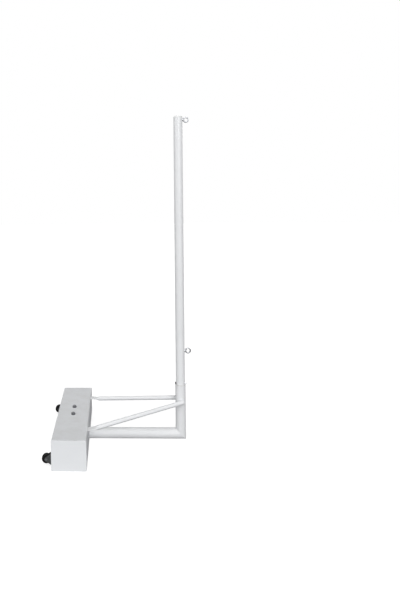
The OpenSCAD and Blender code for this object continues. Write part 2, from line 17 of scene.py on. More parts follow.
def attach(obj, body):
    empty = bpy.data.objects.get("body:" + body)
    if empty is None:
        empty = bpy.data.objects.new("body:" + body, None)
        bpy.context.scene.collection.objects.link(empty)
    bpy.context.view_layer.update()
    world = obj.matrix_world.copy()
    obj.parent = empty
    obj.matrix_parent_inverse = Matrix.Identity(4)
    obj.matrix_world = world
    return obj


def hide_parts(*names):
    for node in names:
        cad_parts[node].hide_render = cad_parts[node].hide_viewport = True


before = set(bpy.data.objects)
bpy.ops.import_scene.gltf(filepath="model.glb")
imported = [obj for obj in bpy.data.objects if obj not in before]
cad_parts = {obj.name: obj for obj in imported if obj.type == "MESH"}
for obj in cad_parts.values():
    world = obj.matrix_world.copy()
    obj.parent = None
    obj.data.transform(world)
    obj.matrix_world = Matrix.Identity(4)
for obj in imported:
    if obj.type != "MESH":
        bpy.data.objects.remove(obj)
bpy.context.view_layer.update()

LOG = logging.getLogger("net_post")

Mesh = bpy.types.Mesh
Node = bpy.types.Node
Socket = bpy.types.NodeSocket
Colour = tuple[float, float, float]
Point = tuple[float, float, float]
Span = tuple[float, float]
Ring = list[Vector]

MM = 0.001
# Points closer than this are one point.
TINY = 1e-7
FULL_TURN = 2 * math.pi
# Points round a small turned form, a multiple of 12 so that a hexagon can meet it, and round a fine one.
ROUND = 48
FINE_ROUND = 96
X_AXIS, Y_AXIS, Z_AXIS = Vector((1, 0, 0)), Vector((0, 1, 0)), Vector((0, 0, 1))


class Body(Enum):
    """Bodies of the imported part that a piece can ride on."""

    BASE = "base"
    MAST = "mast"
    FRONT_WHEEL = "front_wheel"
    REAR_WHEEL = "rear_wheel"


class Slot(Enum):
    """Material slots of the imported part."""

    WHITE_PAINT = "white_paint"
    CAP_PLASTIC = "cap_plastic"
    ZINC_PLATE = "zinc_plate"
    DULL_ZINC = "dull_zinc"
    BLACK_STEEL = "black_steel"
    BRACKET_STEEL = "bracket_steel"
    RAW_STEEL = "raw_steel"
    TYRE_RUBBER = "tyre_rubber"
    HUB_PLASTIC = "hub_plastic"


class End(Enum):
    """Ends of the ballast box; the front one is nearer to the camera."""

    FRONT = "front"
    REAR = "rear"

    @property
    def side(self) -> int:
        """Sign of this end's Y."""
        return -1 if self is End.FRONT else 1

    @property
    def wheel(self) -> Body:
        """Body of this end's wheel."""
        return Body.FRONT_WHEEL if self is End.FRONT else Body.REAR_WHEEL


# Surfaces

@dataclass
class Shell:
    """Points and faces of a closed surface, before it becomes a mesh."""

    points: list[Vector] = field(default_factory=list)
    faces: list[tuple[int, ...]] = field(default_factory=list)

    @classmethod
    def loft(cls, rings: Sequence[Ring], closed: bool = False) -> "Shell":
        """Skins a row of rings.

        Args:
            rings: Rings with the same number of points; a ring of one point is a pole.
            closed: Whether the last ring joins the first, as on a tube with two walls. The ends of
                an open row are capped.

        Returns:
            The closed surface.
        """
        shell = cls()
        starts = []
        for ring in rings:
            starts.append(len(shell.points))
            shell.points.extend(ring)
        pairs = list(zip(range(len(rings) - 1), range(1, len(rings))))
        if closed:
            pairs.append((len(rings) - 1, 0))
        for low, high in pairs:
            shell._bridge(starts[low], len(rings[low]), starts[high], len(rings[high]))
        if not closed:
            for index in (0, len(rings) - 1):
                if len(rings[index]) > 1:
                    start = starts[index]
                    shell.faces.append(tuple(range(start, start + len(rings[index]))))
        return shell

    def _bridge(self, low: int, low_count: int, high: int, high_count: int) -> None:
        """Joins two rings by quads, or a ring and a pole by triangles.

        Args:
            low: Index of the first point of one ring.
            low_count: Number of its points.
            high: Index of the first point of the other ring.
            high_count: Number of its points.
        """
        count = max(low_count, high_count)
        for i in range(count):
            j = (i + 1) % count
            if low_count == 1:
                self.faces.append((low, high + j, high + i))
            elif high_count == 1:
                self.faces.append((low + i, low + j, high))
            else:
                self.faces.append((low + i, low + j, high + j, high + i))

    @classmethod
    def lathe(cls, profile: Sequence[Span], segments: int = 64, closed: bool = False) -> "Shell":
        """Turns a profile of radii and heights about Z, closed where its last point joins its first."""
        return cls.loft([circle(radius, height, segments) for radius, height in profile], closed)

    def moved(self, matrix: Matrix) -> "Shell":
        """A copy of the surface, put elsewhere by the matrix."""
        return Shell([matrix @ p for p in self.points], list(self.faces))

    def mirrored(self) -> "Shell":
        """A copy of the surface, reflected in the plane Y = 0."""
        return self.moved(Matrix.Diagonal((1, -1, 1, 1)))

    def __add__(self, other: "Shell") -> "Shell":
        """Both surfaces as one.

        Args:
            other: The second surface.

        Returns:
            The surface that holds both.
        """
        shift = len(self.points)
        faces = [tuple(i + shift for i in face) for face in other.faces]
        return Shell(self.points + other.points, self.faces + faces)

    def mesh(self, name: str) -> Mesh:
        """Makes the mesh, with its doubles merged and its faces turned outwards.

        Args:
            name: Name of the mesh.

        Returns:
            The mesh.
        """
        mesh = bpy.data.meshes.new(name)
        mesh.from_pydata([p[:] for p in self.points], [], self.faces)
        return closed_outwards(mesh)


def pole(height: float) -> Ring:
    """A ring of one point, on the Z axis."""
    return [Vector((0, 0, height))]


def circle(radius: float, height: float, segments: int) -> Ring:
    """A ring about Z.

    Args:
        radius: Its radius; 0 gives a pole.
        height: Its height.
        segments: Number of its points.

    Returns:
        The ring.
    """
    if radius < TINY:
        return pole(height)
    steps = (FULL_TURN * i / segments for i in range(segments))
    return [Vector((radius * math.cos(a), radius * math.sin(a), height)) for a in steps]


def hexagon(across: float, height: Callable[[float], float] | float, segments: int = ROUND) -> Ring:
    """A hexagonal ring about Z, with a flat across the X axis.

    Args:
        across: Width across the flats.
        height: Height of the ring, or the height that it has at a given radius.
        segments: Number of points, a multiple of 12 so that every corner has one.

    Returns:
        The ring.
    """
    sector = math.radians(60)
    ring = []
    for i in range(segments):
        angle = FULL_TURN * i / segments
        radius = across / 2 / math.cos((angle + sector / 2) % sector - sector / 2)
        z = height(radius) if callable(height) else height
        ring.append(Vector((radius * math.cos(angle), radius * math.sin(angle), z)))
    return ring


def rounded_rectangle(width: float, height: float, radius: float, per_corner: int = 8) -> list[Span]:
    """Outline of a rectangle with round corners, as pairs about its middle.

    Args:
        width: Size along the first axis.
        height: Size along the second axis.
        radius: Radius of the corners.
        per_corner: Number of steps in each corner.

    Returns:
        The points, in order round the outline.
    """
    outline = []
    for quarter, (sx, sy) in enumerate(((1, 1), (-1, 1), (-1, -1), (1, -1))):
        for step in range(per_corner + 1):
            angle = math.radians(90) * (quarter + step / per_corner)
            outline.append((sx * (width / 2 - radius) + radius * math.cos(angle),
                            sy * (height / 2 - radius) + radius * math.sin(angle)))
    return outline


def even_steps(start: float, end: float, steps: int) -> list[float]:
    """Values from start to end, both included, with a number of equal steps between them."""
    return [start + (end - start) * i / steps for i in range(steps + 1)]


def arc(middle: Span, radius: float, start: float, end: float, steps: int) -> list[Span]:
    """Points on an arc of a profile from one angle to another, in degrees, both ends included."""
    angles = (math.radians(angle) for angle in even_steps(start, end, steps))
    return [(middle[0] + radius * math.cos(a), middle[1] + radius * math.sin(a)) for a in angles]


def facing(place: Point | Vector, along: Vector, up: Vector = Z_AXIS) -> Matrix:
    """Matrix that puts a shape drawn along Z at a place, along another direction.

    Args:
        place: Where the shape's origin goes.
        along: Direction that its Z axis takes.
        up: Direction that its X axis takes, as nearly as it can.

    Returns:
        The matrix.
    """
    z = along.normalized()
    x = up - up.dot(z) * z
    x = x.normalized() if x.length > TINY else z.orthogonal().normalized()
    y = z.cross(x)
    turn = Matrix((x, y, z)).transposed().to_4x4()
    return Matrix.Translation(Vector(place)) @ turn


# Node trees

class Kind(Enum):
    """Kinds of socket that a node group has."""

    NUMBER = "NodeSocketFloat"
    COUNT = "NodeSocketInt"
    VECTOR = "NodeSocketVector"
    COLOUR = "NodeSocketColor"
    GEOMETRY = "NodeSocketGeometry"
    MATERIAL = "NodeSocketMaterial"


class Wiring:
    """Adds and links the nodes of one tree."""

    # A Mix node's sockets share their names, so its colours and their result go by number.
    mix_first, mix_second, mix_result = 6, 7, 2

    def __init__(self, tree: bpy.types.NodeTree) -> None:
        """Starts on a tree."""
        self.tree = tree

    def add(self, kind: str, inputs: dict[Any, Any] | None = None, **settings: Any) -> Node:
        """Adds a node.

        Args:
            kind: Blender's name for the node.
            inputs: What goes into its sockets, by name or number: a value, or a socket to link.
            settings: Properties of the node.

        Returns:
            The node.
        """
        node = self.tree.nodes.new(kind)
        for name, value in settings.items():
            setattr(node, name, value)
        for key, value in (inputs or {}).items():
            if isinstance(value, Socket):
                self.link(value, node, key)
            else:
                node.inputs[key].default_value = value
        return node

    def link(self, value: Socket, node: Node, key: Any) -> None:
        """Links a value to a node's socket, which is given by name or number."""
        self.tree.links.new(value, node.inputs[key])

    def maths(self, operation: str, *values: Any, clamp: bool = False) -> Socket:
        """Result of a Math node on values or sockets."""
        node = self.add("ShaderNodeMath", dict(enumerate(values)), operation=operation, use_clamp=clamp)
        return node.outputs[0]

    def ramp(self, value: Socket, low: float, high: float) -> Socket:
        """Smooth step of a value from 0 at low to 1 at high."""
        ends = {"Value": value, "From Min": low, "From Max": high}
        return self.add("ShaderNodeMapRange", ends, interpolation_type="SMOOTHSTEP").outputs["Result"]

    def mix(self, share: Any, first: Any, second: Any) -> Socket:
        """Colour that goes from the first to the second with the share."""
        values = {"Factor": share, self.mix_first: first, self.mix_second: second}
        return self.add("ShaderNodeMix", values, data_type="RGBA").outputs[self.mix_result]

    def noise(self, place: Socket, scale: Any, detail: Any, roughness: float) -> Socket:
        """Value of a noise pattern at a place."""
        values = {"Vector": place, "Scale": scale, "Detail": detail, "Roughness": roughness}
        return self.add("ShaderNodeTexNoise", values).outputs[0]

    def separate(self, vector: Socket) -> Any:
        """Parts of a vector, by the names X, Y and Z."""
        return self.add("ShaderNodeSeparateXYZ", {0: vector}).outputs


def new_group(name: str, tree_kind: str, inputs: Sequence[tuple[str, Kind, Any]],
              outputs: Sequence[tuple[str, Kind]]) -> tuple[Wiring, Any, Node]:
    """Starts a node group with named sockets.

    Args:
        name: Name of the group.
        tree_kind: ShaderNodeTree or GeometryNodeTree.
        inputs: Name, kind and default of each input; a default of None is left alone.
        outputs: Name and kind of each output.

    Returns:
        The wiring of the group, the sockets that its inputs give, and its output node.
    """
    tree = bpy.data.node_groups.new(name, tree_kind)
    for label, kind, default in inputs:
        socket = tree.interface.new_socket(label, in_out="INPUT", socket_type=kind.value)
        if default is not None:
            socket.default_value = default
    for label, kind in outputs:
        tree.interface.new_socket(label, in_out="OUTPUT", socket_type=kind.value)
    wiring = Wiring(tree)
    return wiring, wiring.add("NodeGroupInput").outputs, wiring.add("NodeGroupOutput")


class ShapeRule:
    """A geometry node tree that makes a shape from named sizes."""

    name = ""
    inputs: Sequence[tuple[str, Kind, Any]] = ()

    def __init__(self) -> None:
        """Builds the tree, which ends in real instances that have their material."""
        sockets = [("Geometry", Kind.GEOMETRY, None), *self.inputs, ("Material", Kind.MATERIAL, None)]
        self.wiring, self.given, result = new_group(
            self.name, "GeometryNodeTree", sockets, [("Geometry", Kind.GEOMETRY)])
        real = self.wiring.add("GeometryNodeRealizeInstances", {"Geometry": self.shape()})
        dressed = self.wiring.add("GeometryNodeSetMaterial", {
            "Geometry": real.outputs[0], "Material": self.given["Material"]})
        self.wiring.link(dressed.outputs[0], result, "Geometry")

    def shape(self) -> Socket:
        """Builds the rule's own nodes and gives the geometry that they make."""
        raise NotImplementedError

    def make(self, name: str, start: Mesh, material: bpy.types.Material, **sizes: Any) -> Mesh:
        """Runs the tree on a mesh.

        Args:
            name: Name of the new mesh.
            start: Mesh that goes into the tree.
            material: Material of the result.
            sizes: Values of the named inputs, with an underscore for each space.

        Returns:
            The finished plain mesh.
        """
        host = bpy.data.objects.new(name, start)
        bpy.context.scene.collection.objects.link(host)
        modifier = host.modifiers.new(self.name, "NODES")
        modifier.node_group = self.wiring.tree
        sockets = {item.name: item.identifier for item in self.wiring.tree.interface.items_tree
                   if item.in_out == "INPUT"}
        modifier[sockets["Material"]] = material
        for label, value in sizes.items():
            modifier[sockets[label.replace("_", " ")]] = value
        graph = bpy.context.evaluated_depsgraph_get()
        mesh = bpy.data.meshes.new_from_object(host.evaluated_get(graph), depsgraph=graph)
        host.modifiers.remove(modifier)
        bpy.data.objects.remove(host)
        mesh.name = name
        return mesh


class RoundTube(ShapeRule):
    """A round tube that stands on the origin, with rounded lips and a lower end that may be mitred."""

    name = "round_tube"
    inputs = (("Radius", Kind.NUMBER, 0.02), ("Wall", Kind.NUMBER, 0.002), ("Length", Kind.NUMBER, 1.0),
              ("Lip", Kind.NUMBER, 0.0005), ("Mitre", Kind.NUMBER, 0.0), ("Segments", Kind.COUNT, 128))
    lip_steps = 4

    def shape(self) -> Socket:
        """Sweeps the wall's section round a circle, then slopes the lower end along X.

        Returns:
            The tube.
        """
        w, given = self.wiring, self.given
        middle = w.maths("SUBTRACT", given["Radius"], w.maths("MULTIPLY", given["Wall"], 0.5))
        path = w.add("GeometryNodeCurvePrimitiveCircle", {"Resolution": given["Segments"], "Radius": middle})
        section = w.add("GeometryNodeCurvePrimitiveQuadrilateral", {
            "Width": given["Wall"], "Height": given["Length"]})
        lips = w.add("GeometryNodeFilletCurve", {
            "Curve": section.outputs[0], "Radius": given["Lip"], "Count": self.lip_steps}, mode="POLY")
        tube = w.add("GeometryNodeCurveToMesh", {
            "Curve": path.outputs[0], "Profile Curve": lips.outputs[0]})
        place = w.separate(w.add("GeometryNodeInputPosition").outputs[0])
        slope = w.maths("MULTIPLY", place["X"], given["Mitre"])
        below = w.maths("MULTIPLY", slope, w.maths("LESS_THAN", place["Z"], 0.0))
        lift = w.maths("ADD", w.maths("MULTIPLY", given["Length"], 0.5), below)
        upwards = w.add("ShaderNodeCombineXYZ", {"Z": lift})
        return w.add("GeometryNodeSetPosition", {
            "Geometry": tube.outputs[0], "Offset": upwards.outputs[0]}).outputs[0]


class WeldBead(ShapeRule):
    """A weld bead along a path, with the ripples that a hand-held torch leaves."""

    name = "weld_bead"
    inputs = (("Bead", Kind.NUMBER, 0.002), ("Ripple Pitch", Kind.NUMBER, 0.0024),
              ("Ripple Depth", Kind.NUMBER, 0.22), ("Unevenness", Kind.NUMBER, 0.2),
              ("Seed", Kind.NUMBER, 0.0))
    points_per_ripple = 5.0
    ripple_curve = 0.6
    wander_per_ripple = 0.23
    sides = 14

    def shape(self) -> Socket:
        """Sweeps a circle along the path, wider and narrower as the bead ripples.

        Returns:
            The bead.
        """
        w, given = self.wiring, self.given
        path = w.add("GeometryNodeMeshToCurve", {"Mesh": given["Geometry"]})
        step = w.maths("DIVIDE", given["Ripple Pitch"], self.points_per_ripple)
        even = w.add("GeometryNodeResampleCurve", {"Curve": path.outputs[0], "Length": step}, mode="LENGTH")
        along = w.add("GeometryNodeSplineParameter").outputs["Length"]
        turns = w.maths("DIVIDE", along, given["Ripple Pitch"])
        ripple = w.maths("POWER", w.maths("FRACT", turns), self.ripple_curve)
        drift = w.maths("ADD", w.maths("MULTIPLY", turns, self.wander_per_ripple), given["Seed"])
        wander = w.add("ShaderNodeTexNoise", {"W": drift, "Scale": 1.0, "Detail": 1.0},
                       noise_dimensions="1D").outputs[0]
        uneven = w.maths("MULTIPLY", w.maths("SUBTRACT", wander, 0.5), given["Unevenness"])
        rippled = w.maths("SUBTRACT", 1.0, w.maths("MULTIPLY", ripple, given["Ripple Depth"]))
        radius = w.maths("MULTIPLY", w.maths("ADD", rippled, uneven), given["Bead"])
        sized = w.add("GeometryNodeSetCurveRadius", {"Curve": even.outputs[0], "Radius": radius})
        section = w.add("GeometryNodeCurvePrimitiveCircle", {"Resolution": self.sides, "Radius": 1.0})
        return w.add("GeometryNodeCurveToMesh", {
            "Curve": sized.outputs[0], "Profile Curve": section.outputs[0],
            "Scale": w.add("GeometryNodeInputRadius").outputs[0], "Fill Caps": True}).outputs[0]


class RowOf(ShapeRule):
    """Copies of a shape in a row."""

    name = "row_of"
    inputs = (("Count", Kind.COUNT, 2), ("Step", Kind.VECTOR, (0.0, 0.0, 0.0)))

    def shape(self) -> Socket:
        """Puts the shape on each point of a line, a step apart.

        Returns:
            The copies.
        """
        w, given = self.wiring, self.given
        line = w.add("GeometryNodeMeshLine", {
            "Count": given["Count"], "Offset": given["Step"]}, mode="OFFSET")
        return w.add("GeometryNodeInstanceOnPoints", {
            "Points": line.outputs[0], "Instance": given["Geometry"]}).outputs[0]


class RingOf(ShapeRule):
    """Copies of a shape round the Z axis."""

    name = "ring_of"
    inputs = (("Count", Kind.COUNT, 6),)

    def shape(self) -> Socket:
        """Turns each copy about the axis by its share of a full turn.

        Returns:
            The copies.
        """
        w, given = self.wiring, self.given
        points = w.add("GeometryNodePoints", {"Count": given["Count"]})
        share = w.maths("DIVIDE", w.add("GeometryNodeInputIndex").outputs[0], given["Count"])
        turn = w.add("ShaderNodeCombineXYZ", {"Z": w.maths("MULTIPLY", share, FULL_TURN)})
        return w.add("GeometryNodeInstanceOnPoints", {
            "Points": points.outputs[0], "Instance": given["Geometry"],
            "Rotation": turn.outputs[0]}).outputs[0]


class ScrewThread(ShapeRule):
    """The helical crest of a screw thread about the Z axis."""

    name = "screw_thread"
    inputs = (("Radius", Kind.NUMBER, 0.004), ("Pitch", Kind.NUMBER, 0.00125), ("Turns", Kind.NUMBER, 4.0))
    crest_share = 0.42
    crest_sides = 4
    points_per_turn = 40

    def shape(self) -> Socket:
        """Sweeps a small square, one corner outwards, along a spiral.

        Returns:
            The crest.
        """
        w, given = self.wiring, self.given
        crest = w.maths("MULTIPLY", given["Pitch"], self.crest_share)
        radius = w.maths("SUBTRACT", given["Radius"], crest)
        spiral = w.add("GeometryNodeCurveSpiral", {
            "Resolution": self.points_per_turn, "Rotations": given["Turns"],
            "Start Radius": radius, "End Radius": radius,
            "Height": w.maths("MULTIPLY", given["Turns"], given["Pitch"])})
        section = w.add("GeometryNodeCurvePrimitiveCircle", {"Resolution": self.crest_sides, "Radius": crest})
        return w.add("GeometryNodeCurveToMesh", {
            "Curve": spiral.outputs[0], "Profile Curve": section.outputs[0], "Fill Caps": True}).outputs[0]


class Rules:
    """The shape rules of the post, each built once."""

    def __init__(self) -> None:
        """Builds the trees."""
        self.tube = RoundTube()
        self.bead = WeldBead()
        self.row = RowOf()
        self.ring = RingOf()
        self.thread = ScrewThread()


# Surface effects, shared by the finishes

class Effects:
    """Shader node groups that more than one finish uses, each built once."""

    # A noise is its detail and its roughness, and a range is where its mask starts and ends.
    fine_noise = 0.55
    grain_range = (0.3, 0.7)
    slow_noise = (3.0, 0.5)
    drift_range = (0.32, 0.68)
    dust_noise = (6.0, 0.65)
    dust_patches = (0.35, 0.75)
    dust_slopes = (0.2, 0.95)
    dust_between = 0.3
    rub_noise = (2.0, 0.6)
    rub_level = 0.75
    rub_edge = 0.06

    def __init__(self) -> None:
        """Builds the groups."""
        self.grain = self.fine_grain()
        self.drift = self.slow_drift()
        self.dust = self.settled_dust()
        self.rubs = self.rub_marks()
        self.band = self.height_band()

    @staticmethod
    def start(name: str, inputs: Sequence[tuple[str, Kind, Any]],
              *outputs: tuple[str, Kind]) -> tuple[Wiring, Any, Node]:
        """Starts a shader group that also takes the place of each point, as new_group does."""
        return new_group(name, "ShaderNodeTree", [("Place", Kind.VECTOR, None), *inputs], outputs)

    def fine_grain(self) -> bpy.types.NodeTree:
        """Fine relief of a coated or moulded surface, as a height and as a mask.

        Returns:
            The group.
        """
        w, given, result = self.start("fine_grain", [
            ("Scale", Kind.NUMBER, 600.0), ("Detail", Kind.NUMBER, 2.0)],
            ("Height", Kind.NUMBER), ("Mask", Kind.NUMBER))
        height = w.noise(given["Place"], given["Scale"], given["Detail"], self.fine_noise)
        w.link(height, result, "Height")
        w.link(w.ramp(height, *self.grain_range), result, "Mask")
        return w.tree

    def slow_drift(self) -> bpy.types.NodeTree:
        """Slow change between two tones over the surface.

        Returns:
            The group.
        """
        w, given, result = self.start("slow_drift", [
            ("Scale", Kind.NUMBER, 6.0), ("First", Kind.COLOUR, (0.8, 0.8, 0.8, 1)),
            ("Second", Kind.COLOUR, (0.7, 0.7, 0.7, 1))],
            ("Colour", Kind.COLOUR), ("Mask", Kind.NUMBER))
        mask = w.ramp(w.noise(given["Place"], given["Scale"], *self.slow_noise), *self.drift_range)
        w.link(w.mix(mask, given["First"], given["Second"]), result, "Colour")
        w.link(mask, result, "Mask")
        return w.tree

    def settled_dust(self) -> bpy.types.NodeTree:
        """Mask of the dust that settles on what faces up.

        Returns:
            The group.
        """
        w, given, result = self.start("settled_dust", [
            ("Amount", Kind.NUMBER, 0.2), ("Scale", Kind.NUMBER, 18.0)], ("Mask", Kind.NUMBER))
        up = w.separate(w.add("ShaderNodeNewGeometry").outputs["Normal"])["Z"]
        patches = w.ramp(w.noise(given["Place"], given["Scale"], *self.dust_noise), *self.dust_patches)
        spread = w.maths("ADD", w.maths("MULTIPLY", patches, 1 - self.dust_between), self.dust_between)
        level = w.maths("MULTIPLY", w.ramp(up, *self.dust_slopes), spread)
        w.link(w.maths("MULTIPLY", level, given["Amount"], clamp=True), result, "Mask")
        return w.tree

    def rub_marks(self) -> bpy.types.NodeTree:
        """Mask of fine marks, drawn out along the axes whose stretch is small.

        Returns:
            The group.
        """
        w, given, result = self.start("rub_marks", [
            ("Stretch", Kind.VECTOR, (1.0, 1.0, 1.0)), ("Scale", Kind.NUMBER, 200.0),
            ("Coverage", Kind.NUMBER, 0.1)], ("Mask", Kind.NUMBER))
        drawn = w.add("ShaderNodeVectorMath", {0: given["Place"], 1: given["Stretch"]}, operation="MULTIPLY")
        noise = w.noise(drawn.outputs[0], given["Scale"], *self.rub_noise)
        edge = w.maths("SUBTRACT", self.rub_level, w.maths("MULTIPLY", given["Coverage"], 0.5))
        above = w.maths("DIVIDE", w.maths("SUBTRACT", noise, edge), self.rub_edge, clamp=True)
        w.link(above, result, "Mask")
        return w.tree

    def height_band(self) -> bpy.types.NodeTree:
        """Mask that is 1 between two heights and fades out past them.

        Returns:
            The group.
        """
        w, given, result = self.start("height_band", [
            ("Low", Kind.NUMBER, 0.0), ("High", Kind.NUMBER, 0.02), ("Fade", Kind.NUMBER, 0.02)],
            ("Mask", Kind.NUMBER))
        z = w.separate(given["Place"])["Z"]
        below = w.maths("DIVIDE", w.maths("SUBTRACT", given["Low"], z), given["Fade"])
        above = w.maths("DIVIDE", w.maths("SUBTRACT", z, given["High"]), given["Fade"])
        past = w.maths("MAXIMUM", below, above)
        w.link(w.maths("SUBTRACT", 1.0, past, clamp=True), result, "Mask")
        return w.tree


class Surface:
    """A material in the making: its nodes, its shader and the place of each point."""

    def __init__(self, material: bpy.types.Material, effects: Effects) -> None:
        """Gives the material its shader and Object coordinates.

        Args:
            material: The new material.
            effects: The shared node groups.
        """
        material.use_nodes = True
        material.node_tree.nodes.clear()
        self.w = Wiring(material.node_tree)
        self.effects = effects
        self.shader = self.w.add("ShaderNodeBsdfPrincipled")
        output = self.w.add("ShaderNodeOutputMaterial", {"Surface": self.shader.outputs[0]})
        output.is_active_output = True
        self.place = self.w.add("ShaderNodeTexCoord").outputs["Object"]

    def set(self, label: str, value: Any) -> None:
        """Sets a value of the shader."""
        self.shader.inputs[label].default_value = value

    def colour(self, colour: Socket) -> None:
        """Gives the surface its colour."""
        self.w.link(colour, self.shader, "Base Color")

    def effect(self, group: bpy.types.NodeTree, **values: Any) -> Any:
        """Places a shared effect in the material with its own values.

        Args:
            group: The effect.
            values: Values of its inputs, by their names in small letters.

        Returns:
            The sockets that it puts out.
        """
        node = self.w.add("ShaderNodeGroup", {"Place": self.place}, node_tree=group)
        for label, value in values.items():
            node.inputs[label.capitalize()].default_value = value
        return node.outputs

    def stain(self, mask: Socket, strength: float, under: Any, colour: Colour) -> Socket:
        """Lays a colour over another where the mask is, at the given strength."""
        return self.w.mix(self.w.maths("MULTIPLY", mask, strength), under, (*colour, 1))

    def grain(self, scale: float, detail: float, depth: float) -> Socket:
        """Raises the surface by a fine grain.

        Args:
            scale: Scale of the grain's noise.
            detail: Detail of the noise.
            depth: Depth of the grain in metres.

        Returns:
            The mask of the grain.
        """
        grain = self.effect(self.effects.grain, scale=scale, detail=detail)
        bump = self.w.add("ShaderNodeBump", {"Height": grain["Height"], "Distance": depth, "Strength": 1.0})
        self.w.link(bump.outputs[0], self.shader, "Normal")
        return grain["Mask"]

    def roughness(self, mask: Socket, smooth: float, rough: float) -> None:
        """Runs the roughness from smooth to rough as the mask goes from 0 to 1."""
        node = self.w.add("ShaderNodeMapRange", {"Value": mask, "To Min": smooth, "To Max": rough})
        self.w.link(node.outputs["Result"], self.shader, "Roughness")


@dataclass(frozen=True)
class Finish:
    """How a surface looks, and the slot that it goes with; each kind of finish adds its own nodes."""

    name: str
    slot: Slot
    tone: Colour
    rough: float

    def material(self, effects: Effects) -> bpy.types.Material:
        """Gives the finish's material, and makes it the first time.

        Args:
            effects: The shared node groups.

        Returns:
            The material.
        """
        found = bpy.data.materials.get(self.name)
        if found:
            return found
        material = bpy.data.materials.new(self.name)
        surface = Surface(material, effects)
        surface.set("Base Color", (*self.tone, 1))
        surface.set("Roughness", self.rough)
        self.wire(surface)
        return material

    def wire(self, surface: Surface) -> None:
        """Adds what sets this kind of finish apart."""
        raise NotImplementedError


@dataclass(frozen=True)
class PowderCoat(Finish):
    """Semi-gloss powder coat with a fine orange peel, a little dust and light marks of use."""

    gloss: float = 0.5
    drift_scale: float = 5.0
    drift_shade: float = 0.975
    dust: float = 0.22
    dust_scale: float = 22.0
    dust_tone: Colour = (0.55, 0.54, 0.52)
    scuffed: Span = (0.0, 0.0)
    scuff_fade: float = 0.012
    scuff_scale: float = 140.0
    scuff_coverage: float = 0.14
    scuff_stretch: Point = (1.0, 1.0, 0.12)
    scuff_strength: float = 0.4
    scuff_tone: Colour = (0.42, 0.42, 0.42)
    # Heights of a thin band of painted shade at the socket's rim, for the shade in the gap between mast and
    # socket; (-1, -1) leaves it out.
    rim_shade_band: Span = (-1.0, -1.0)
    rim_shade_fade: float = 0.002
    rim_shade_strength: float = 0.6
    peel_scale: float = 520.0
    peel_detail: float = 2.0
    peel_depth: float = 0.00012
    peel_roughness: float = 0.25
    worn_roughness: float = 0.3

    def wire(self, surface: Surface) -> None:
        """Adds the coat's peel, its slow change of tone, its dust, its scuffs and a thin band of painted
        shade between two heights.

        Args:
            surface: The surface that is coated.
        """
        w, effects = surface.w, surface.effects
        drift = surface.effect(effects.drift, scale=self.drift_scale, first=(*self.tone, 1),
                               second=(*(part * self.drift_shade for part in self.tone), 1))
        dust = surface.effect(effects.dust, amount=self.dust, scale=self.dust_scale)["Mask"]
        dusty = w.mix(dust, drift["Colour"], (*self.dust_tone, 1))
        rubs = surface.effect(effects.rubs, scale=self.scuff_scale, coverage=self.scuff_coverage,
                              stretch=self.scuff_stretch)["Mask"]
        band = surface.effect(effects.band, low=self.scuffed[0], high=self.scuffed[1],
                              fade=self.scuff_fade)["Mask"]
        scuffs = w.maths("MULTIPLY", rubs, band)
        scuffed = surface.stain(scuffs, self.scuff_strength, dusty, self.scuff_tone)
        # Painted shade: a thin dark band, laid in the dust tone, where the gap between mast and socket lies
        # in shade.
        line = surface.effect(effects.band, low=self.rim_shade_band[0], high=self.rim_shade_band[1],
                              fade=self.rim_shade_fade)["Mask"]
        surface.colour(surface.stain(line, self.rim_shade_strength, scuffed, self.dust_tone))
        peel = surface.grain(self.peel_scale, self.peel_detail, self.peel_depth)
        worn = w.maths("ADD", w.maths("MULTIPLY", peel, self.peel_roughness), w.maths("ADD", dust, scuffs),
                       clamp=True)
        surface.roughness(worn, self.rough, min(1.0, self.rough + self.worn_roughness))
        surface.set("Specular IOR Level", self.gloss)


@dataclass(frozen=True)
class MouldedPlastic(Finish):
    """Injection moulded plastic: a matt spark-eroded grain and faint flow tones."""

    gloss: float = 0.5
    flow_scale: float = 40.0
    flow_shade: float = 0.94
    dust: float = 0.12
    dust_scale: float = 60.0
    dust_tone: Colour = (0.5, 0.49, 0.47)
    grain_scale: float = 1400.0
    grain_detail: float = 3.0
    grain_depth: float = 0.00003
    smoother: float = 0.06
    rougher: float = 0.08

    def wire(self, surface: Surface) -> None:
        """Adds the grain, the flow tones and the dust.

        Args:
            surface: The surface of the plastic.
        """
        flow = surface.effect(surface.effects.drift, scale=self.flow_scale, first=(*self.tone, 1),
                              second=(*(part * self.flow_shade for part in self.tone), 1))
        dust = surface.effect(surface.effects.dust, amount=self.dust, scale=self.dust_scale)["Mask"]
        surface.colour(surface.w.mix(dust, flow["Colour"], (*self.dust_tone, 1)))
        grain = surface.grain(self.grain_scale, self.grain_detail, self.grain_depth)
        surface.roughness(grain, self.rough - self.smoother, self.rough + self.rougher)
        surface.set("Specular IOR Level", self.gloss)


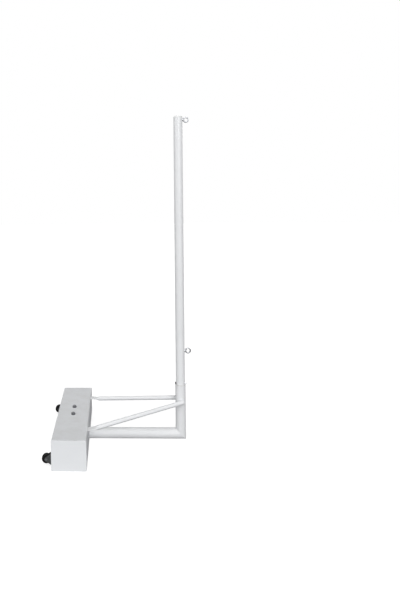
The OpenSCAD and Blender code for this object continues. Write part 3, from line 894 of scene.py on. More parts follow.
@dataclass(frozen=True)
class PlatedSteel(Finish):
    """Zinc plated or blacked steel: metal with fine drawn lines, a cloudy passivation and rubs."""

    cloud: Colour = (0.55, 0.57, 0.60)
    cloud_scale: float = 160.0
    metallic: float = 1.0
    bright: Colour = (0.75, 0.76, 0.77)
    rub_scale: float = 1500.0
    rub_coverage: float = 0.25
    rub_strength: float = 0.4
    drawn: Point = (1.0, 1.0, 1.0)
    grain_scale: float = 2600.0
    grain_detail: float = 3.0
    grain_depth: float = 0.00002
    smoother: float = 0.08
    rougher: float = 0.1

    def wire(self, surface: Surface) -> None:
        """Adds the clouds, the drawn lines and the bright rubs.

        Args:
            surface: The surface of the metal.
        """
        clouds = surface.effect(surface.effects.drift, scale=self.cloud_scale, first=(*self.tone, 1),
                                second=(*self.cloud, 1))
        rubs = surface.effect(surface.effects.rubs, scale=self.rub_scale, coverage=self.rub_coverage,
                              stretch=self.drawn)["Mask"]
        surface.colour(surface.stain(rubs, self.rub_strength, clouds["Colour"], self.bright))
        surface.set("Metallic", self.metallic)
        surface.grain(self.grain_scale, self.grain_detail, self.grain_depth)
        surface.roughness(clouds["Mask"], self.rough - self.smoother, self.rough + self.rougher)


@dataclass(frozen=True)
class Rubber(Finish):
    """Black rubber with a matt bloom and marks from the floor."""

    gloss: float = 0.2
    bloom: Colour = (0.009, 0.009, 0.009)
    bloom_scale: float = 70.0
    mark_scale: float = 260.0
    mark_coverage: float = 0.28
    mark_stretch: Point = (1.0, 0.3, 1.0)
    mark_strength: float = 0.35
    mark_tone: Colour = (0.03, 0.029, 0.028)
    grain_scale: float = 1800.0
    grain_detail: float = 4.0
    grain_depth: float = 0.00008
    uneven: float = 0.1

    def wire(self, surface: Surface) -> None:
        """Adds the bloom, the floor marks and the grain.

        Args:
            surface: The surface of the rubber.
        """
        bloom = surface.effect(surface.effects.drift, scale=self.bloom_scale, first=(*self.tone, 1),
                               second=(*self.bloom, 1))
        marks = surface.effect(surface.effects.rubs, scale=self.mark_scale, coverage=self.mark_coverage,
                               stretch=self.mark_stretch)["Mask"]
        surface.colour(surface.stain(marks, self.mark_strength, bloom["Colour"], self.mark_tone))
        grain = surface.grain(self.grain_scale, self.grain_detail, self.grain_depth)
        surface.roughness(grain, self.rough - self.uneven, self.rough + self.uneven)
        surface.set("Specular IOR Level", self.gloss)


@dataclass(frozen=True)
class RolledSteel(Finish):
    """Hot-rolled steel: dark mill scale with rusty patches."""

    rust: Colour = (0.20, 0.11, 0.07)
    rust_scale: float = 30.0
    metallic: float = 0.7
    scale_grain: float = 400.0
    scale_detail: float = 5.0
    scale_depth: float = 0.0002
    rougher: float = 0.25

    def wire(self, surface: Surface) -> None:
        """Adds the scale's patches and its relief.

        Args:
            surface: The surface of the steel.
        """
        patches = surface.effect(surface.effects.drift, scale=self.rust_scale, first=(*self.tone, 1),
                                 second=(*self.rust, 1))
        surface.colour(patches["Colour"])
        surface.set("Metallic", self.metallic)
        surface.grain(self.scale_grain, self.scale_detail, self.scale_depth)
        surface.roughness(patches["Mask"], self.rough, self.rough + self.rougher)


# The frame's coat is a darker copy of the same white powder coat: painted shade for the shade that the box
# casts on the arm and braces.
SHADED_FRAME_PAINT = PowderCoat("white_powder_coat", Slot.WHITE_PAINT, (0.76, 0.77, 0.785), 0.45, gloss=0.3)
MAST_PAINT = PowderCoat("white_powder_coat_mast", Slot.WHITE_PAINT, (0.80, 0.81, 0.825), 0.32, gloss=0.7,
                        dust=0.1, scuffed=(0.255, 0.285), rim_shade_band=(0.2595, 0.2608))
SOCKET_PAINT = PowderCoat("white_powder_coat_socket", Slot.WHITE_PAINT, (0.78, 0.79, 0.805), 0.42,
                          rim_shade_band=(0.2593, 0.2605))
BOX_PAINT = PowderCoat("white_powder_coat_box", Slot.WHITE_PAINT, (0.765, 0.78, 0.80), 0.6, gloss=0.03,
                       dust=0.3, scuffed=(-0.01, 0.012))
CAP_WHITE = MouldedPlastic("white_moulded_plastic", Slot.CAP_PLASTIC, (0.84, 0.85, 0.85), 0.42)
HUB_BLACK = MouldedPlastic("black_moulded_plastic", Slot.HUB_PLASTIC, (0.006, 0.006, 0.0065), 0.55,
                           dust=0.0, gloss=0.2)
ZINC = PlatedSteel("bright_zinc_plate", Slot.ZINC_PLATE, (0.44, 0.445, 0.46), 0.3,
                   cloud=(0.36, 0.37, 0.39), bright=(0.6, 0.61, 0.62))
DULL_ZINC = PlatedSteel("dull_zinc_plate", Slot.DULL_ZINC, (0.2, 0.205, 0.215), 0.42,
                        cloud=(0.15, 0.155, 0.165), bright=(0.42, 0.43, 0.44))
BLACK_OXIDE = PlatedSteel("black_oxide_steel", Slot.BLACK_STEEL, (0.035, 0.035, 0.038), 0.42,
                          cloud=(0.06, 0.06, 0.065), metallic=0.55, bright=(0.2, 0.2, 0.2))
BRACKET_GREY = PlatedSteel("phosphated_pressed_steel", Slot.BRACKET_STEEL, (0.05, 0.053, 0.055), 0.55,
                           cloud=(0.068, 0.071, 0.073), metallic=0.25, bright=(0.11, 0.115, 0.115),
                           drawn=(0.7, 1.0, 1.0), rub_scale=2400.0)
TYRE = Rubber("black_rubber", Slot.TYRE_RUBBER, (0.005, 0.005, 0.005), 0.8)
PLATE_STEEL = RolledSteel("hot_rolled_steel", Slot.RAW_STEEL, (0.16, 0.16, 0.17), 0.5)


# The workshop, which turns meshes into pieces of the post

class Workshop:
    """Makes pieces of the post from shells, rules and finishes, and joins them to the frame."""

    # Pitch of a weld's ripples, in radii of its bead.
    ripple_pitch = 1.3

    def __init__(self) -> None:
        """Sets up the shared trees."""
        self.rules = Rules()
        self.effects = Effects()

    def paint(self, finish: Finish) -> bpy.types.Material:
        """Material of a finish."""
        return finish.material(self.effects)

    def piece(self, name: str, mesh: Mesh, body: Body, finish: Finish, *nodes: str,
              crease: float = 38.0) -> None:
        """Finishes a mesh and joins it to the frame.

        Args:
            name: Name of the piece.
            mesh: Its mesh, in place.
            body: Body that it rides on.
            finish: How it looks.
            nodes: CAD nodes that it stands for.
            crease: Angle in degrees above which an edge stays sharp.
        """
        mesh.materials.clear()
        mesh.materials.append(self.paint(finish))
        mesh.shade_smooth()
        mesh.set_sharp_from_angle(angle=math.radians(crease))
        piece = bpy.data.objects.new(name, mesh)
        bpy.context.scene.collection.objects.link(piece)
        even = piece.modifiers.new("even_shading", "WEIGHTED_NORMAL")
        even.keep_sharp = True
        graph = bpy.context.evaluated_depsgraph_get()
        shaded = bpy.data.meshes.new_from_object(piece.evaluated_get(graph), depsgraph=graph)
        piece.modifiers.remove(even)
        piece.data = shaded
        shaded.name = name
        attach(piece, body.value)
        if nodes:
            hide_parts(*nodes)
        LOG.info("made %s: %d faces on %s", name, len(shaded.polygons), body.value)

    def shell(self, name: str, shell: Shell, body: Body, finish: Finish, *nodes: str,
              crease: float = 38.0) -> None:
        """Finishes a shell as a piece; the arguments are those of piece()."""
        self.piece(name, shell.mesh(name), body, finish, *nodes, crease=crease)

    def tube(self, name: str, place: Matrix, finish: Finish, **sizes: Any) -> Mesh:
        """Makes a round tube by its rule.

        Args:
            name: Name of the mesh.
            place: Puts the tube, which stands on the origin, in place.
            finish: How it looks.
            sizes: The tube's named sizes.

        Returns:
            The tube's mesh, in place.
        """
        mesh = self.rules.tube.make(name, bpy.data.meshes.new("tube_start"), self.paint(finish), **sizes)
        mesh.transform(place)
        return closed_outwards(mesh)

    def row(self, name: str, shell: Shell, finish: Finish, step: Point, place: Matrix) -> Mesh:
        """Makes a pair of equal shells by the rule for a row.

        Args:
            name: Name of the mesh.
            shell: The first of the pair.
            finish: How they look.
            step: From the first to the second.
            place: Puts the pair in place.

        Returns:
            The mesh of both.
        """
        mesh = self.rules.row.make(name, shell.mesh("one_of_pair"), self.paint(finish), Count=2, Step=step)
        mesh.transform(place)
        return mesh

    def bead(self, name: str, paths: Sequence[tuple[Sequence[Vector], bool]], finish: Finish,
             radius: float, seed: float) -> None:
        """Makes weld beads along paths by their rule, as one piece of the base.

        Args:
            name: Name of the piece.
            paths: Points of each path, and whether it closes on itself.
            finish: How the beads look.
            radius: Radius of the beads.
            seed: Where the beads' unevenness starts.
        """
        points: list[Point] = []
        edges: list[tuple[int, int]] = []
        for path, loop in paths:
            first = len(points)
            points.extend(p[:] for p in path)
            edges.extend((i, i + 1) for i in range(first, len(points) - 1))
            if loop:
                edges.append((len(points) - 1, first))
        start = bpy.data.meshes.new(name + "_path")
        start.from_pydata(points, edges, [])
        mesh = self.rules.bead.make(name, start, self.paint(finish), Bead=radius,
                                    Ripple_Pitch=self.ripple_pitch * radius, Seed=seed)
        self.piece(name, closed_outwards(mesh), Body.BASE, finish)

    def keep(self, nodes: dict[str, Finish]) -> None:
        """Gives CAD nodes that stay as they are a finish of their own.

        Args:
            nodes: The finish of each node.
        """
        for name, finish in nodes.items():
            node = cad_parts[name]
            node.data.materials.clear()
            node.data.materials.append(self.paint(finish))
            LOG.info("kept %s with %s", name, finish.name)


def closed_outwards(mesh: Mesh) -> Mesh:
    """Merges a mesh's doubles and turns its faces outwards.

    Args:
        mesh: The mesh, which is changed.

    Returns:
        The same mesh.
    """
    build = bmesh.new()
    build.from_mesh(mesh)
    bmesh.ops.remove_doubles(build, verts=build.verts, dist=TINY)
    bmesh.ops.recalc_face_normals(build, faces=build.faces)
    build.to_mesh(mesh)
    build.free()
    return mesh


def join_meshes(name: str, meshes: Sequence[Mesh]) -> Mesh:
    """Puts several meshes in one and turns its faces outwards.

    Args:
        name: Name of the result.
        meshes: The meshes, which share one frame.

    Returns:
        The joined mesh.
    """
    build = bmesh.new()
    for mesh in meshes:
        build.from_mesh(mesh)
    joined = bpy.data.meshes.new(name)
    build.to_mesh(joined)
    build.free()
    return closed_outwards(joined)


# Fasteners

@dataclass(frozen=True)
class Hexagonal:
    """Sizes of a hexagon head or nut, drawn along Z from its bearing face."""

    across: float
    height: float
    bore: float = 0.0
    face_share: float = 0.95
    edge_share: float = 0.02
    lead_share: float = 0.08
    dish_share: float = 0.03
    chamfer: float = 30.0

    def shell(self) -> Shell:
        """The head, or the nut where it has a bore, with its corners chamfered at the far end.

        Returns:
            The closed surface.
        """
        face = self.across / 2 * self.face_share
        slope = math.tan(math.radians(self.chamfer))

        def chamfered(radius: float) -> float:
            """Height of the chamfer at a radius."""
            return self.height - max(0.0, radius - face) * slope

        edge = self.edge_share * self.across
        outside = [hexagon(self.across - 2 * edge, 0.0), hexagon(self.across, edge),
                   hexagon(self.across, chamfered), circle(face, self.height, ROUND)]
        if self.bore:
            lead = self.lead_share * self.across
            inside = [circle(self.bore + lead, self.height, ROUND),
                      circle(self.bore, self.height - lead, ROUND), circle(self.bore, lead, ROUND)]
            return Shell.loft([circle(self.bore + lead, 0.0, ROUND), *outside, *inside], closed=True)
        dish = self.dish_share * self.height
        return Shell.loft([pole(0.0), *outside, circle(face - 2 * dish, self.height - dish, ROUND),
                           pole(self.height - dish)])


def shank(radius: float, length: float, chamfer: float) -> Shell:
    """Shank of a bolt, hanging below Z = 0, with a chamfered tip.

    Args:
        radius: Radius of the shank.
        length: Length below the head's bearing face.
        chamfer: Size of the chamfer.

    Returns:
        The closed surface, which reaches a little into the head.
    """
    into_head = 0.5 * MM
    return Shell.lathe([(0, into_head), (radius, into_head), (radius, chamfer - length),
                        (radius - chamfer, -length), (0, -length)], ROUND)


@dataclass
class ThroughBolt:
    """A hexagon bolt through a part: its head on one side, its nut and threaded tip on the other."""

    body: Body
    middle: Vector
    along: Vector
    half_grip: float
    bolt: tuple[str, str]
    nut: tuple[str, str]
    thread: str
    bolt_finish: Finish
    nut_finish: Finish
    bare_tip: float = 1 * MM
    radius: float = 3 * MM
    head_form: Hexagonal = Hexagonal(10 * MM, 4 * MM)
    nut_form: Hexagonal = Hexagonal(10 * MM, 5 * MM, bore=3.05 * MM)
    past_nut: float = 3 * MM
    pitch: float = 1 * MM
    thread_depth: float = 0.28 * MM
    chamfer: float = 0.7 * MM
    crease: float = 25.0

    def build(self, shop: Workshop) -> None:
        """Makes the bolt, its nut and the thread that shows past the grip.

        Args:
            shop: The workshop.
        """
        head_at = facing(self.middle - self.along * self.half_grip, -self.along)
        nut_at = facing(self.middle + self.along * self.half_grip, self.along)
        threaded = self.nut_form.height + self.past_nut
        core = shank(self.radius - self.thread_depth, 2 * self.half_grip + threaded, self.chamfer)
        bolt = (self.head_form.shell() + core).moved(head_at)
        shop.shell(self.bolt[0], bolt, self.body, self.bolt_finish, self.bolt[1], crease=self.crease)
        nut = self.nut_form.shell().moved(nut_at)
        shop.shell(self.nut[0], nut, self.body, self.nut_finish, self.nut[1], crease=self.crease)
        crest = shop.rules.thread.make(
            self.thread, bpy.data.meshes.new("thread_start"), shop.paint(self.bolt_finish),
            Radius=self.radius, Pitch=self.pitch, Turns=(threaded - self.bare_tip) / self.pitch)
        crest.transform(nut_at)
        shop.piece(self.thread, closed_outwards(crest), self.body, self.bolt_finish)


# Mast

@dataclass
class NetEye:
    """A zinc plated eye bolt in a threaded insert, on the net side of the mast."""

    name: str
    height: float
    mast_x: float
    mast_radius: float
    hole: float = 16 * MM
    wire: float = 7 * MM
    wire_steps: int = 28
    land: float = 0.5 * MM
    collar: float = 13 * MM
    collar_thick: float = 2.8 * MM
    collar_edge: float = 0.5 * MM
    collar_sink: float = 2 * MM
    neck_spare: float = 1.2 * MM
    neck_curve: tuple[Span, ...] = ((0.6 * MM, 0.1 * MM), (0.0, 0.8 * MM), (-0.4 * MM, 2.0 * MM))
    neck_rise: float = 2.6 * MM
    shank_radius: float = 4 * MM
    shank_length: float = 15 * MM
    flange_radius: float = 8.05 * MM
    flange_thick: float = 1 * MM
    flange_edge: float = 0.5 * MM
    flange_soft: float = 0.15 * MM
    flange_sunk: float = 0.3 * MM
    flange_play: float = 0.05 * MM
    flange_points: int = 64

    @property
    def seat_x(self) -> float:
        """Where the collar sits on the insert's flange."""
        return self.mast_x + self.mast_radius + self.flange_thick

    @property
    def ring_radius(self) -> float:
        """Radius of the middle of the ring's wire."""
        return self.hole / 2 + self.wire / 2 - self.land

    @property
    def middle(self) -> Vector:
        """Middle of the eye's hole."""
        reach = self.collar_thick - self.collar_sink + self.ring_radius + self.wire / 2
        return Vector((self.seat_x + reach, 0, self.height))

    def ring(self) -> Shell:
        """The forged ring, with a flat land round its hole.

        Returns:
            The ring, in place.
        """
        land_at = self.wire / 2 - self.land
        half_land = math.sqrt((self.wire / 2) ** 2 - land_at ** 2)
        start = math.degrees(math.atan2(half_land, -land_at))
        profile = arc((self.ring_radius, 0), self.wire / 2, start, -start, self.wire_steps)
        return Shell.lathe(profile, FINE_ROUND, closed=True).moved(facing(self.middle, Y_AXIS))

    def stem(self) -> Shell:
        """Neck, collar and shank, turned about X.

        Returns:
            The stem, in place.
        """
        thick, edge = self.collar_thick, self.collar_edge
        radius = self.collar / 2
        neck = self.wire / 2 + self.neck_spare
        profile = [(0, -self.shank_length), (self.shank_radius, -self.shank_length),
                   (self.shank_radius, 0), (radius - edge, 0), (radius, edge), (radius, thick - edge),
                   (radius - edge, thick)]
        profile += [(neck + out, thick + up) for out, up in self.neck_curve]
        profile.append((0, thick + self.neck_rise))
        return Shell.lathe(profile).moved(facing((self.seat_x, 0, self.height), X_AXIS))

    def flange(self) -> Shell:
        """Flange of the insert, dished to lie on the round mast.

        Returns:
            The flange, in place.
        """
        points, radius, thick = self.flange_points, self.flange_radius, self.flange_thick
        bore = self.shank_radius + self.flange_play
        front = ((bore, thick), (radius - self.flange_edge, thick),
                 (radius - self.flange_soft, thick - self.flange_soft), (radius, thick - self.flange_edge))
        rings = [[Vector((lift, p.x, p.y)) for p in circle(reach, 0, points)] for reach, lift in front]
        for reach in (radius, bore):
            back = []
            for p in circle(reach, 0, points):
                drop = math.sqrt(self.mast_radius ** 2 - p.x ** 2) - self.mast_radius
                back.append(Vector((drop - self.flange_sunk, p.x, p.y)))
            rings.append(back)
        shift = Matrix.Translation((self.mast_x + self.mast_radius, 0, self.height))
        return Shell.loft(rings, closed=True).moved(shift)

    def build(self, shop: Workshop) -> None:
        """Makes the eye and its insert.

        Args:
            shop: The workshop.
        """
        bolt = self.ring() + self.stem()
        shop.shell(f"{self.name}_eye_bolt", bolt, Body.MAST, ZINC, f"{self.name}_net_eye")
        shop.shell(f"{self.name}_insert_flange", self.flange(), Body.MAST, ZINC)


@dataclass
class Mast:
    """The mast with all that lifts out with it: its cap, its two net eyes and its stop bolt."""

    x: float = 291.5 * MM
    radius: float = 21.2 * MM
    wall: float = 2 * MM
    lip: float = 0.4 * MM
    foot: float = 80 * MM
    tube_top: float = 1540 * MM
    cap_height: float = 10 * MM
    cap_edge: float = 6 * MM
    cap_edge_steps: int = 14
    cap_crown: float = 50 * MM
    cap_crown_steps: int = 10
    cap_seam: float = 0.25 * MM
    plug_length: float = 3.4 * MM
    plug_wall: float = 2 * MM
    plug_floor: float = 0.5 * MM
    plug_gap: float = 1.7 * MM
    upper_eye: float = 1530 * MM
    lower_eye: float = 422 * MM
    stop_height: float = 265.3 * MM
    stop_bare_tip: float = 1.2 * MM

    def tube(self, shop: Workshop) -> None:
        """Makes the mast's tube.

        Args:
            shop: The workshop.
        """
        mesh = shop.tube("mast", Matrix.Translation((self.x, 0, self.foot)), MAST_PAINT, Radius=self.radius,
                         Wall=self.wall, Length=self.tube_top - self.foot, Lip=self.lip)
        shop.piece("mast_steel", mesh, Body.MAST, MAST_PAINT, "mast_tube")

    def cap(self, shop: Workshop) -> None:
        """Makes the domed cap: a straight rim, a round edge and a low crown, on a hollow plug.

        Args:
            shop: The workshop.
        """
        edge_x = self.radius - self.cap_edge
        crown_z = self.cap_height - self.cap_crown
        edge_z = crown_z + math.sqrt((self.cap_crown - self.cap_edge) ** 2 - edge_x ** 2)
        crown_start = math.degrees(math.atan2(edge_z - crown_z, edge_x))
        plug = self.radius - self.wall - self.plug_gap
        inside = plug - self.plug_wall
        seam = self.cap_seam
        profile = [(0, -self.plug_floor), (inside, -self.plug_floor), (inside, -self.plug_length),
                   (plug, -self.plug_length), (plug, 0), (self.radius - 2 * seam, 0),
                   (self.radius - seam, seam), (self.radius, 2 * seam)]
        profile += arc((edge_x, edge_z), self.cap_edge, 0, crown_start, self.cap_edge_steps)
        profile += arc((0, crown_z), self.cap_crown, crown_start, 90, self.cap_crown_steps)[1:-1]
        profile.append((0, self.cap_height))
        cap = Shell.lathe(profile, FINE_ROUND).moved(Matrix.Translation((self.x, 0, self.tube_top)))
        shop.shell("mast_end_cap", cap, Body.MAST, CAP_WHITE, "mast_cap")

    def build(self, shop: Workshop) -> None:
        """Makes all the pieces of the mast; the stop bolt has its head on the box side.

        Args:
            shop: The workshop.
        """
        self.tube(shop)
        self.cap(shop)
        NetEye("upper", self.upper_eye, self.x, self.radius).build(shop)
        NetEye("lower", self.lower_eye, self.x, self.radius).build(shop)
        ThroughBolt(Body.MAST, Vector((self.x, 0, self.stop_height)), X_AXIS, self.radius,
                    ("stop_bolt_black", "stop_bolt"), ("stop_bolt_nut", "stop_nut"), "stop_bolt_thread",
                    BLACK_OXIDE, ZINC, self.stop_bare_tip).build(shop)
        shop.keep({"upper_eye_insert": ZINC, "lower_eye_insert": ZINC})


# Welded frame

@dataclass
class Brace:
    """The front brace: a round tube, flattened at the box and lapped on the socket."""

    mast_x: float
    box_x: float
    socket_radius: float
    radius: float = 10 * MM
    wall: float = 2 * MM
    spread: float = 167 * MM
    paddle_height: float = 123 * MM
    socket_height: float = 184 * MM
    bite: float = 5 * MM
    paddle: float = 28 * MM
    flare: float = 22 * MM
    into_box: float = 6 * MM
    sunk: float = 1 * MM
    end_edge: float = 0.5 * MM
    weld_lift: float = 0.2 * MM
    weld_start_step: float = 0.25 * MM
    round_steps: int = 40
    flare_steps: int = 16
    middle_steps: int = 6
    end_steps: int = 24
    end_radii: float = 4.0
    weld_steps: int = 24
    closing_steps: int = 8
    halvings: int = 30

    @property
    def reach(self) -> Vector:
        """From the flattened end to the mast axis, seen from above."""
        return Vector((self.mast_x - self.box_x, self.spread, 0))

    @property
    def offset(self) -> float:
        """Distance between the brace's axis and the mast's."""
        return self.socket_radius + self.radius - self.bite

    @property
    def plan_angle(self) -> float:
        """Angle of the brace to X, seen from above."""
        return math.atan2(self.reach.y, self.reach.x) - math.asin(self.offset / self.reach.length)

    @property
    def run(self) -> float:
        """Length in plan from the box to where the brace ends, beside the mast axis."""
        return math.sqrt(self.reach.length ** 2 - self.offset ** 2)

    @property
    def rise(self) -> float:
        """Tangent of the slope of the round part."""
        return (self.socket_height - self.paddle_height) / (self.run - self.paddle - self.flare / 2)

    @property
    def frame(self) -> Matrix:
        """Puts the brace's own frame, which runs along X from the box, in the frame of the post."""
        start = Matrix.Translation((self.box_x, -self.spread, self.paddle_height))
        return start @ Matrix.Rotation(self.plan_angle, 4, "Z")

    def axis(self, x: float) -> tuple[float, float]:
        """Line of the brace's axis.

        Args:
            x: Place along its run.

        Returns:
            Height and slope of the axis there.
        """
        past = x - self.paddle
        if past <= 0:
            return 0.0, 0.0
        if past <= self.flare:
            return self.rise * past ** 2 / (2 * self.flare), self.rise * past / self.flare
        return self.rise * (past - self.flare / 2), self.rise

    def half_height(self, x: float) -> float:
        """Half height of the section at x, from the pressed end to the full round."""
        share = min(1.0, max(0.0, (x - self.paddle) / self.flare))
        return self.wall + (self.radius - self.wall) * (1 - math.cos(math.pi * share)) / 2

    def section(self, x: float) -> Ring:
        """Section of the brace: a stadium with the girth of the round tube.

        Args:
            x: Place along its run.

        Returns:
            The ring there.
        """
        height, slope = self.axis(x)
        half = self.half_height(x)
        flat = math.pi * (self.radius - half) / 2
        along = Vector((1, 0, slope)).normalized()
        up = Vector((-along.z, 0, along.x))
        ring = []
        for i in range(self.round_steps):
            angle = FULL_TURN * (i + 0.5) / self.round_steps
            across = half * math.cos(angle) + math.copysign(flat, math.cos(angle))
            ring.append(Vector((x, 0, height)) + Y_AXIS * across + up * (half * math.sin(angle)))
        return ring

    def shell(self) -> Shell:
        """The brace's skin, from inside the wall of the box to beside the socket.

        Returns:
            The skin, pressed against box and socket.
        """
        stations = [-self.into_box, 0.0, self.paddle / 2]
        flared, last = self.paddle + self.flare, self.run
        near_end = last - self.end_radii * self.radius
        stations += even_steps(self.paddle, flared, self.flare_steps)
        stations += even_steps(flared, near_end, self.middle_steps)[1:]
        stations += even_steps(near_end, last, self.end_steps)[1:]
        rings = [self.section(x) for x in stations]
        end_height, end_slope = self.axis(last)
        centre = Vector((last, 0, end_height))
        edge = Vector((1, 0, end_slope)).normalized() * self.end_edge
        narrower = 1 - self.end_edge / self.radius
        rings[-1] = [p - edge for p in rings[-1]]
        rings.append([centre + (p + edge - centre) * narrower for p in rings[-1]])
        skin = Shell.loft(rings).moved(self.frame)
        keep_out = self.socket_radius - self.sunk
        for p in skin.points:
            p.x = max(p.x, self.box_x - self.sunk)
            away = Vector((p.x - self.mast_x, p.y, 0))
            if away.length < keep_out:
                pushed = away.normalized() * keep_out
                p.x, p.y = self.mast_x + pushed.x, pushed.y
        return skin

    def paddle_weld(self) -> list[Vector]:
        """Path of the weld round the flattened end, on the side of the box.

        Returns:
            The points of the path, which closes on itself.
        """
        path = []
        for p in self.section(0.0):
            q = self.frame @ p
            lean = (q.y + self.spread) * math.tan(self.plan_angle)
            path.append(Vector((self.box_x + self.weld_lift, q.y + lean * math.sin(self.plan_angle), q.z)))
        return path

    def saddle_weld(self) -> list[Vector]:
        """Path of the weld where the brace lies on the socket, round its lower side, nose and upper side.

        Returns:
            The points of the path, which closes on itself.
        """
        along = (self.frame.to_3x3() @ Vector((1, 0, self.rise))).normalized()
        inwards = Vector((self.mast_x, 0, 0)) - self.frame.translation
        inwards.z = 0
        inwards = (inwards - inwards.dot(along) * along).normalized()
        up = along.cross(inwards)
        if up.z < 0:
            up = -up
        height, _ = self.axis(self.run)
        beside = self.frame @ Vector((self.run, 0, height))

        def at(s: float, angle: float) -> Vector:
            """Point on the round tube at s along its axis and an angle from the mast."""
            return beside + along * s + (inwards * math.cos(angle) + up * math.sin(angle)) * self.radius

        def outside(p: Vector) -> bool:
            """Whether a point is outside the socket."""
            return Vector((p.x - self.mast_x, p.y)).length > self.socket_radius

        def crossing(s: float, side: int) -> Vector:
            """Point where the tube's skin meets the socket.

            Args:
                s: Place along the tube's axis.
                side: 1 above the axis or -1 below it.

            Returns:
                The point.
            """
            low, high = 0.0, math.pi / 2
            for _ in range(self.halvings):
                middle = (low + high) / 2
                if outside(at(s, side * middle)):
                    high = middle
                else:
                    low = middle
            return at(s, side * high)

        start = 0.0
        while not outside(at(start, 0.0)):
            start -= self.weld_start_step
        stations = even_steps(0.0, start + self.weld_start_step, self.weld_steps)
        lower = [crossing(s, -1) for s in stations]
        upper = [crossing(s, 1) for s in reversed(stations)]
        close = []
        for share in even_steps(0.0, 1.0, self.closing_steps)[1:-1]:
            p = upper[-1].lerp(lower[0], share)
            away = Vector((p.x - self.mast_x, p.y, 0)).normalized() * self.socket_radius
            close.append(Vector((self.mast_x + away.x, away.y, p.z)))
        return lower + upper[1:] + close


@dataclass
class WeldedFrame:
    """Socket, arm and braces with the beads that weld them together and to the box."""

    mast_x: float = 291.5 * MM
    box_x: float = -148.5 * MM
    radius: float = 24.15 * MM
    wall: float = 2.6 * MM
    socket_top: float = 260 * MM
    socket_lip: float = 0.8 * MM
    arm_lip: float = 0.3 * MM
    bead: float = 1.9 * MM
    fine_bead: float = 1.4 * MM
    mitre_sink: float = 0.9 * MM
    mitre_gap: float = 28.0
    mitre_steps: int = 96
    arm_lift: float = 0.4 * MM
    arm_gap: float = 32.0
    arm_steps: int = 72
    seam_seed: float = 7.0
    brace_seed: float = 3.0

    def tube(self, shop: Workshop, name: str, node: str, place: Matrix, finish: Finish,
             **sizes: float) -> None:
        """Makes a piece from a tube of the frame's main size, whose mitred end goes to the place."""
        mesh = shop.tube(name, place, finish, Radius=self.radius, Wall=self.wall, **sizes)
        shop.piece(name, mesh, Body.BASE, finish, node)

    def mitre_path(self) -> list[Vector]:
        """Path of the mitre weld, which stops short of the floor.

        Returns:
            The points of the path.
        """
        gap, radius = self.mitre_gap, self.radius - self.mitre_sink
        round_trip = arc((0, 0), radius, gap, 360 - gap, self.mitre_steps)
        return [Vector((self.mast_x + x, y, self.radius - x)) for x, y in round_trip]

    def arm_path(self) -> list[Vector]:
        """Path of the weld between arm and box, which stops short of the floor."""
        round_trip = arc((0, 0), self.radius, self.arm_gap, 360 - self.arm_gap, self.arm_steps)
        return [Vector((self.box_x + self.arm_lift, y, self.radius - x)) for x, y in round_trip]

    def brace(self, shop: Workshop, end: End) -> None:
        """Makes the brace at one end of the box, with its welds.

        Args:
            shop: The workshop.
            end: The end of the box.
        """
        brace = Brace(self.mast_x, self.box_x, self.radius)
        skin = brace.shell() if end is End.FRONT else brace.shell().mirrored()
        shop.shell(f"{end.value}_brace_tube", skin, Body.BASE, SHADED_FRAME_PAINT, f"{end.value}_brace")
        flip = Vector((1, -end.side, 1))
        paths = [([p * flip for p in path], True) for path in (brace.paddle_weld(), brace.saddle_weld())]
        shop.bead(f"{end.value}_brace_welds", paths, SHADED_FRAME_PAINT, self.fine_bead, end.side + self.brace_seed)

    def build(self, shop: Workshop) -> None:
        """Makes all the pieces of the frame.

        Args:
            shop: The workshop.
        """
        self.tube(shop, "mast_socket", "socket_tube", Matrix.Translation((self.mast_x, 0, self.radius)),
                  SOCKET_PAINT, Length=self.socket_top - self.radius, Lip=self.socket_lip, Mitre=-1.0)
        self.tube(shop, "floor_arm", "base_arm", facing((self.mast_x, 0, self.radius), -X_AXIS),
                  SHADED_FRAME_PAINT, Length=self.mast_x - self.box_x, Lip=self.arm_lip, Mitre=1.0)
        for end in End:
            self.brace(shop, end)
        seams = [(self.arm_path(), False), (self.mitre_path(), False)]
        shop.bead("frame_welds", seams, SHADED_FRAME_PAINT, self.bead, self.seam_seed)


# Ballast box

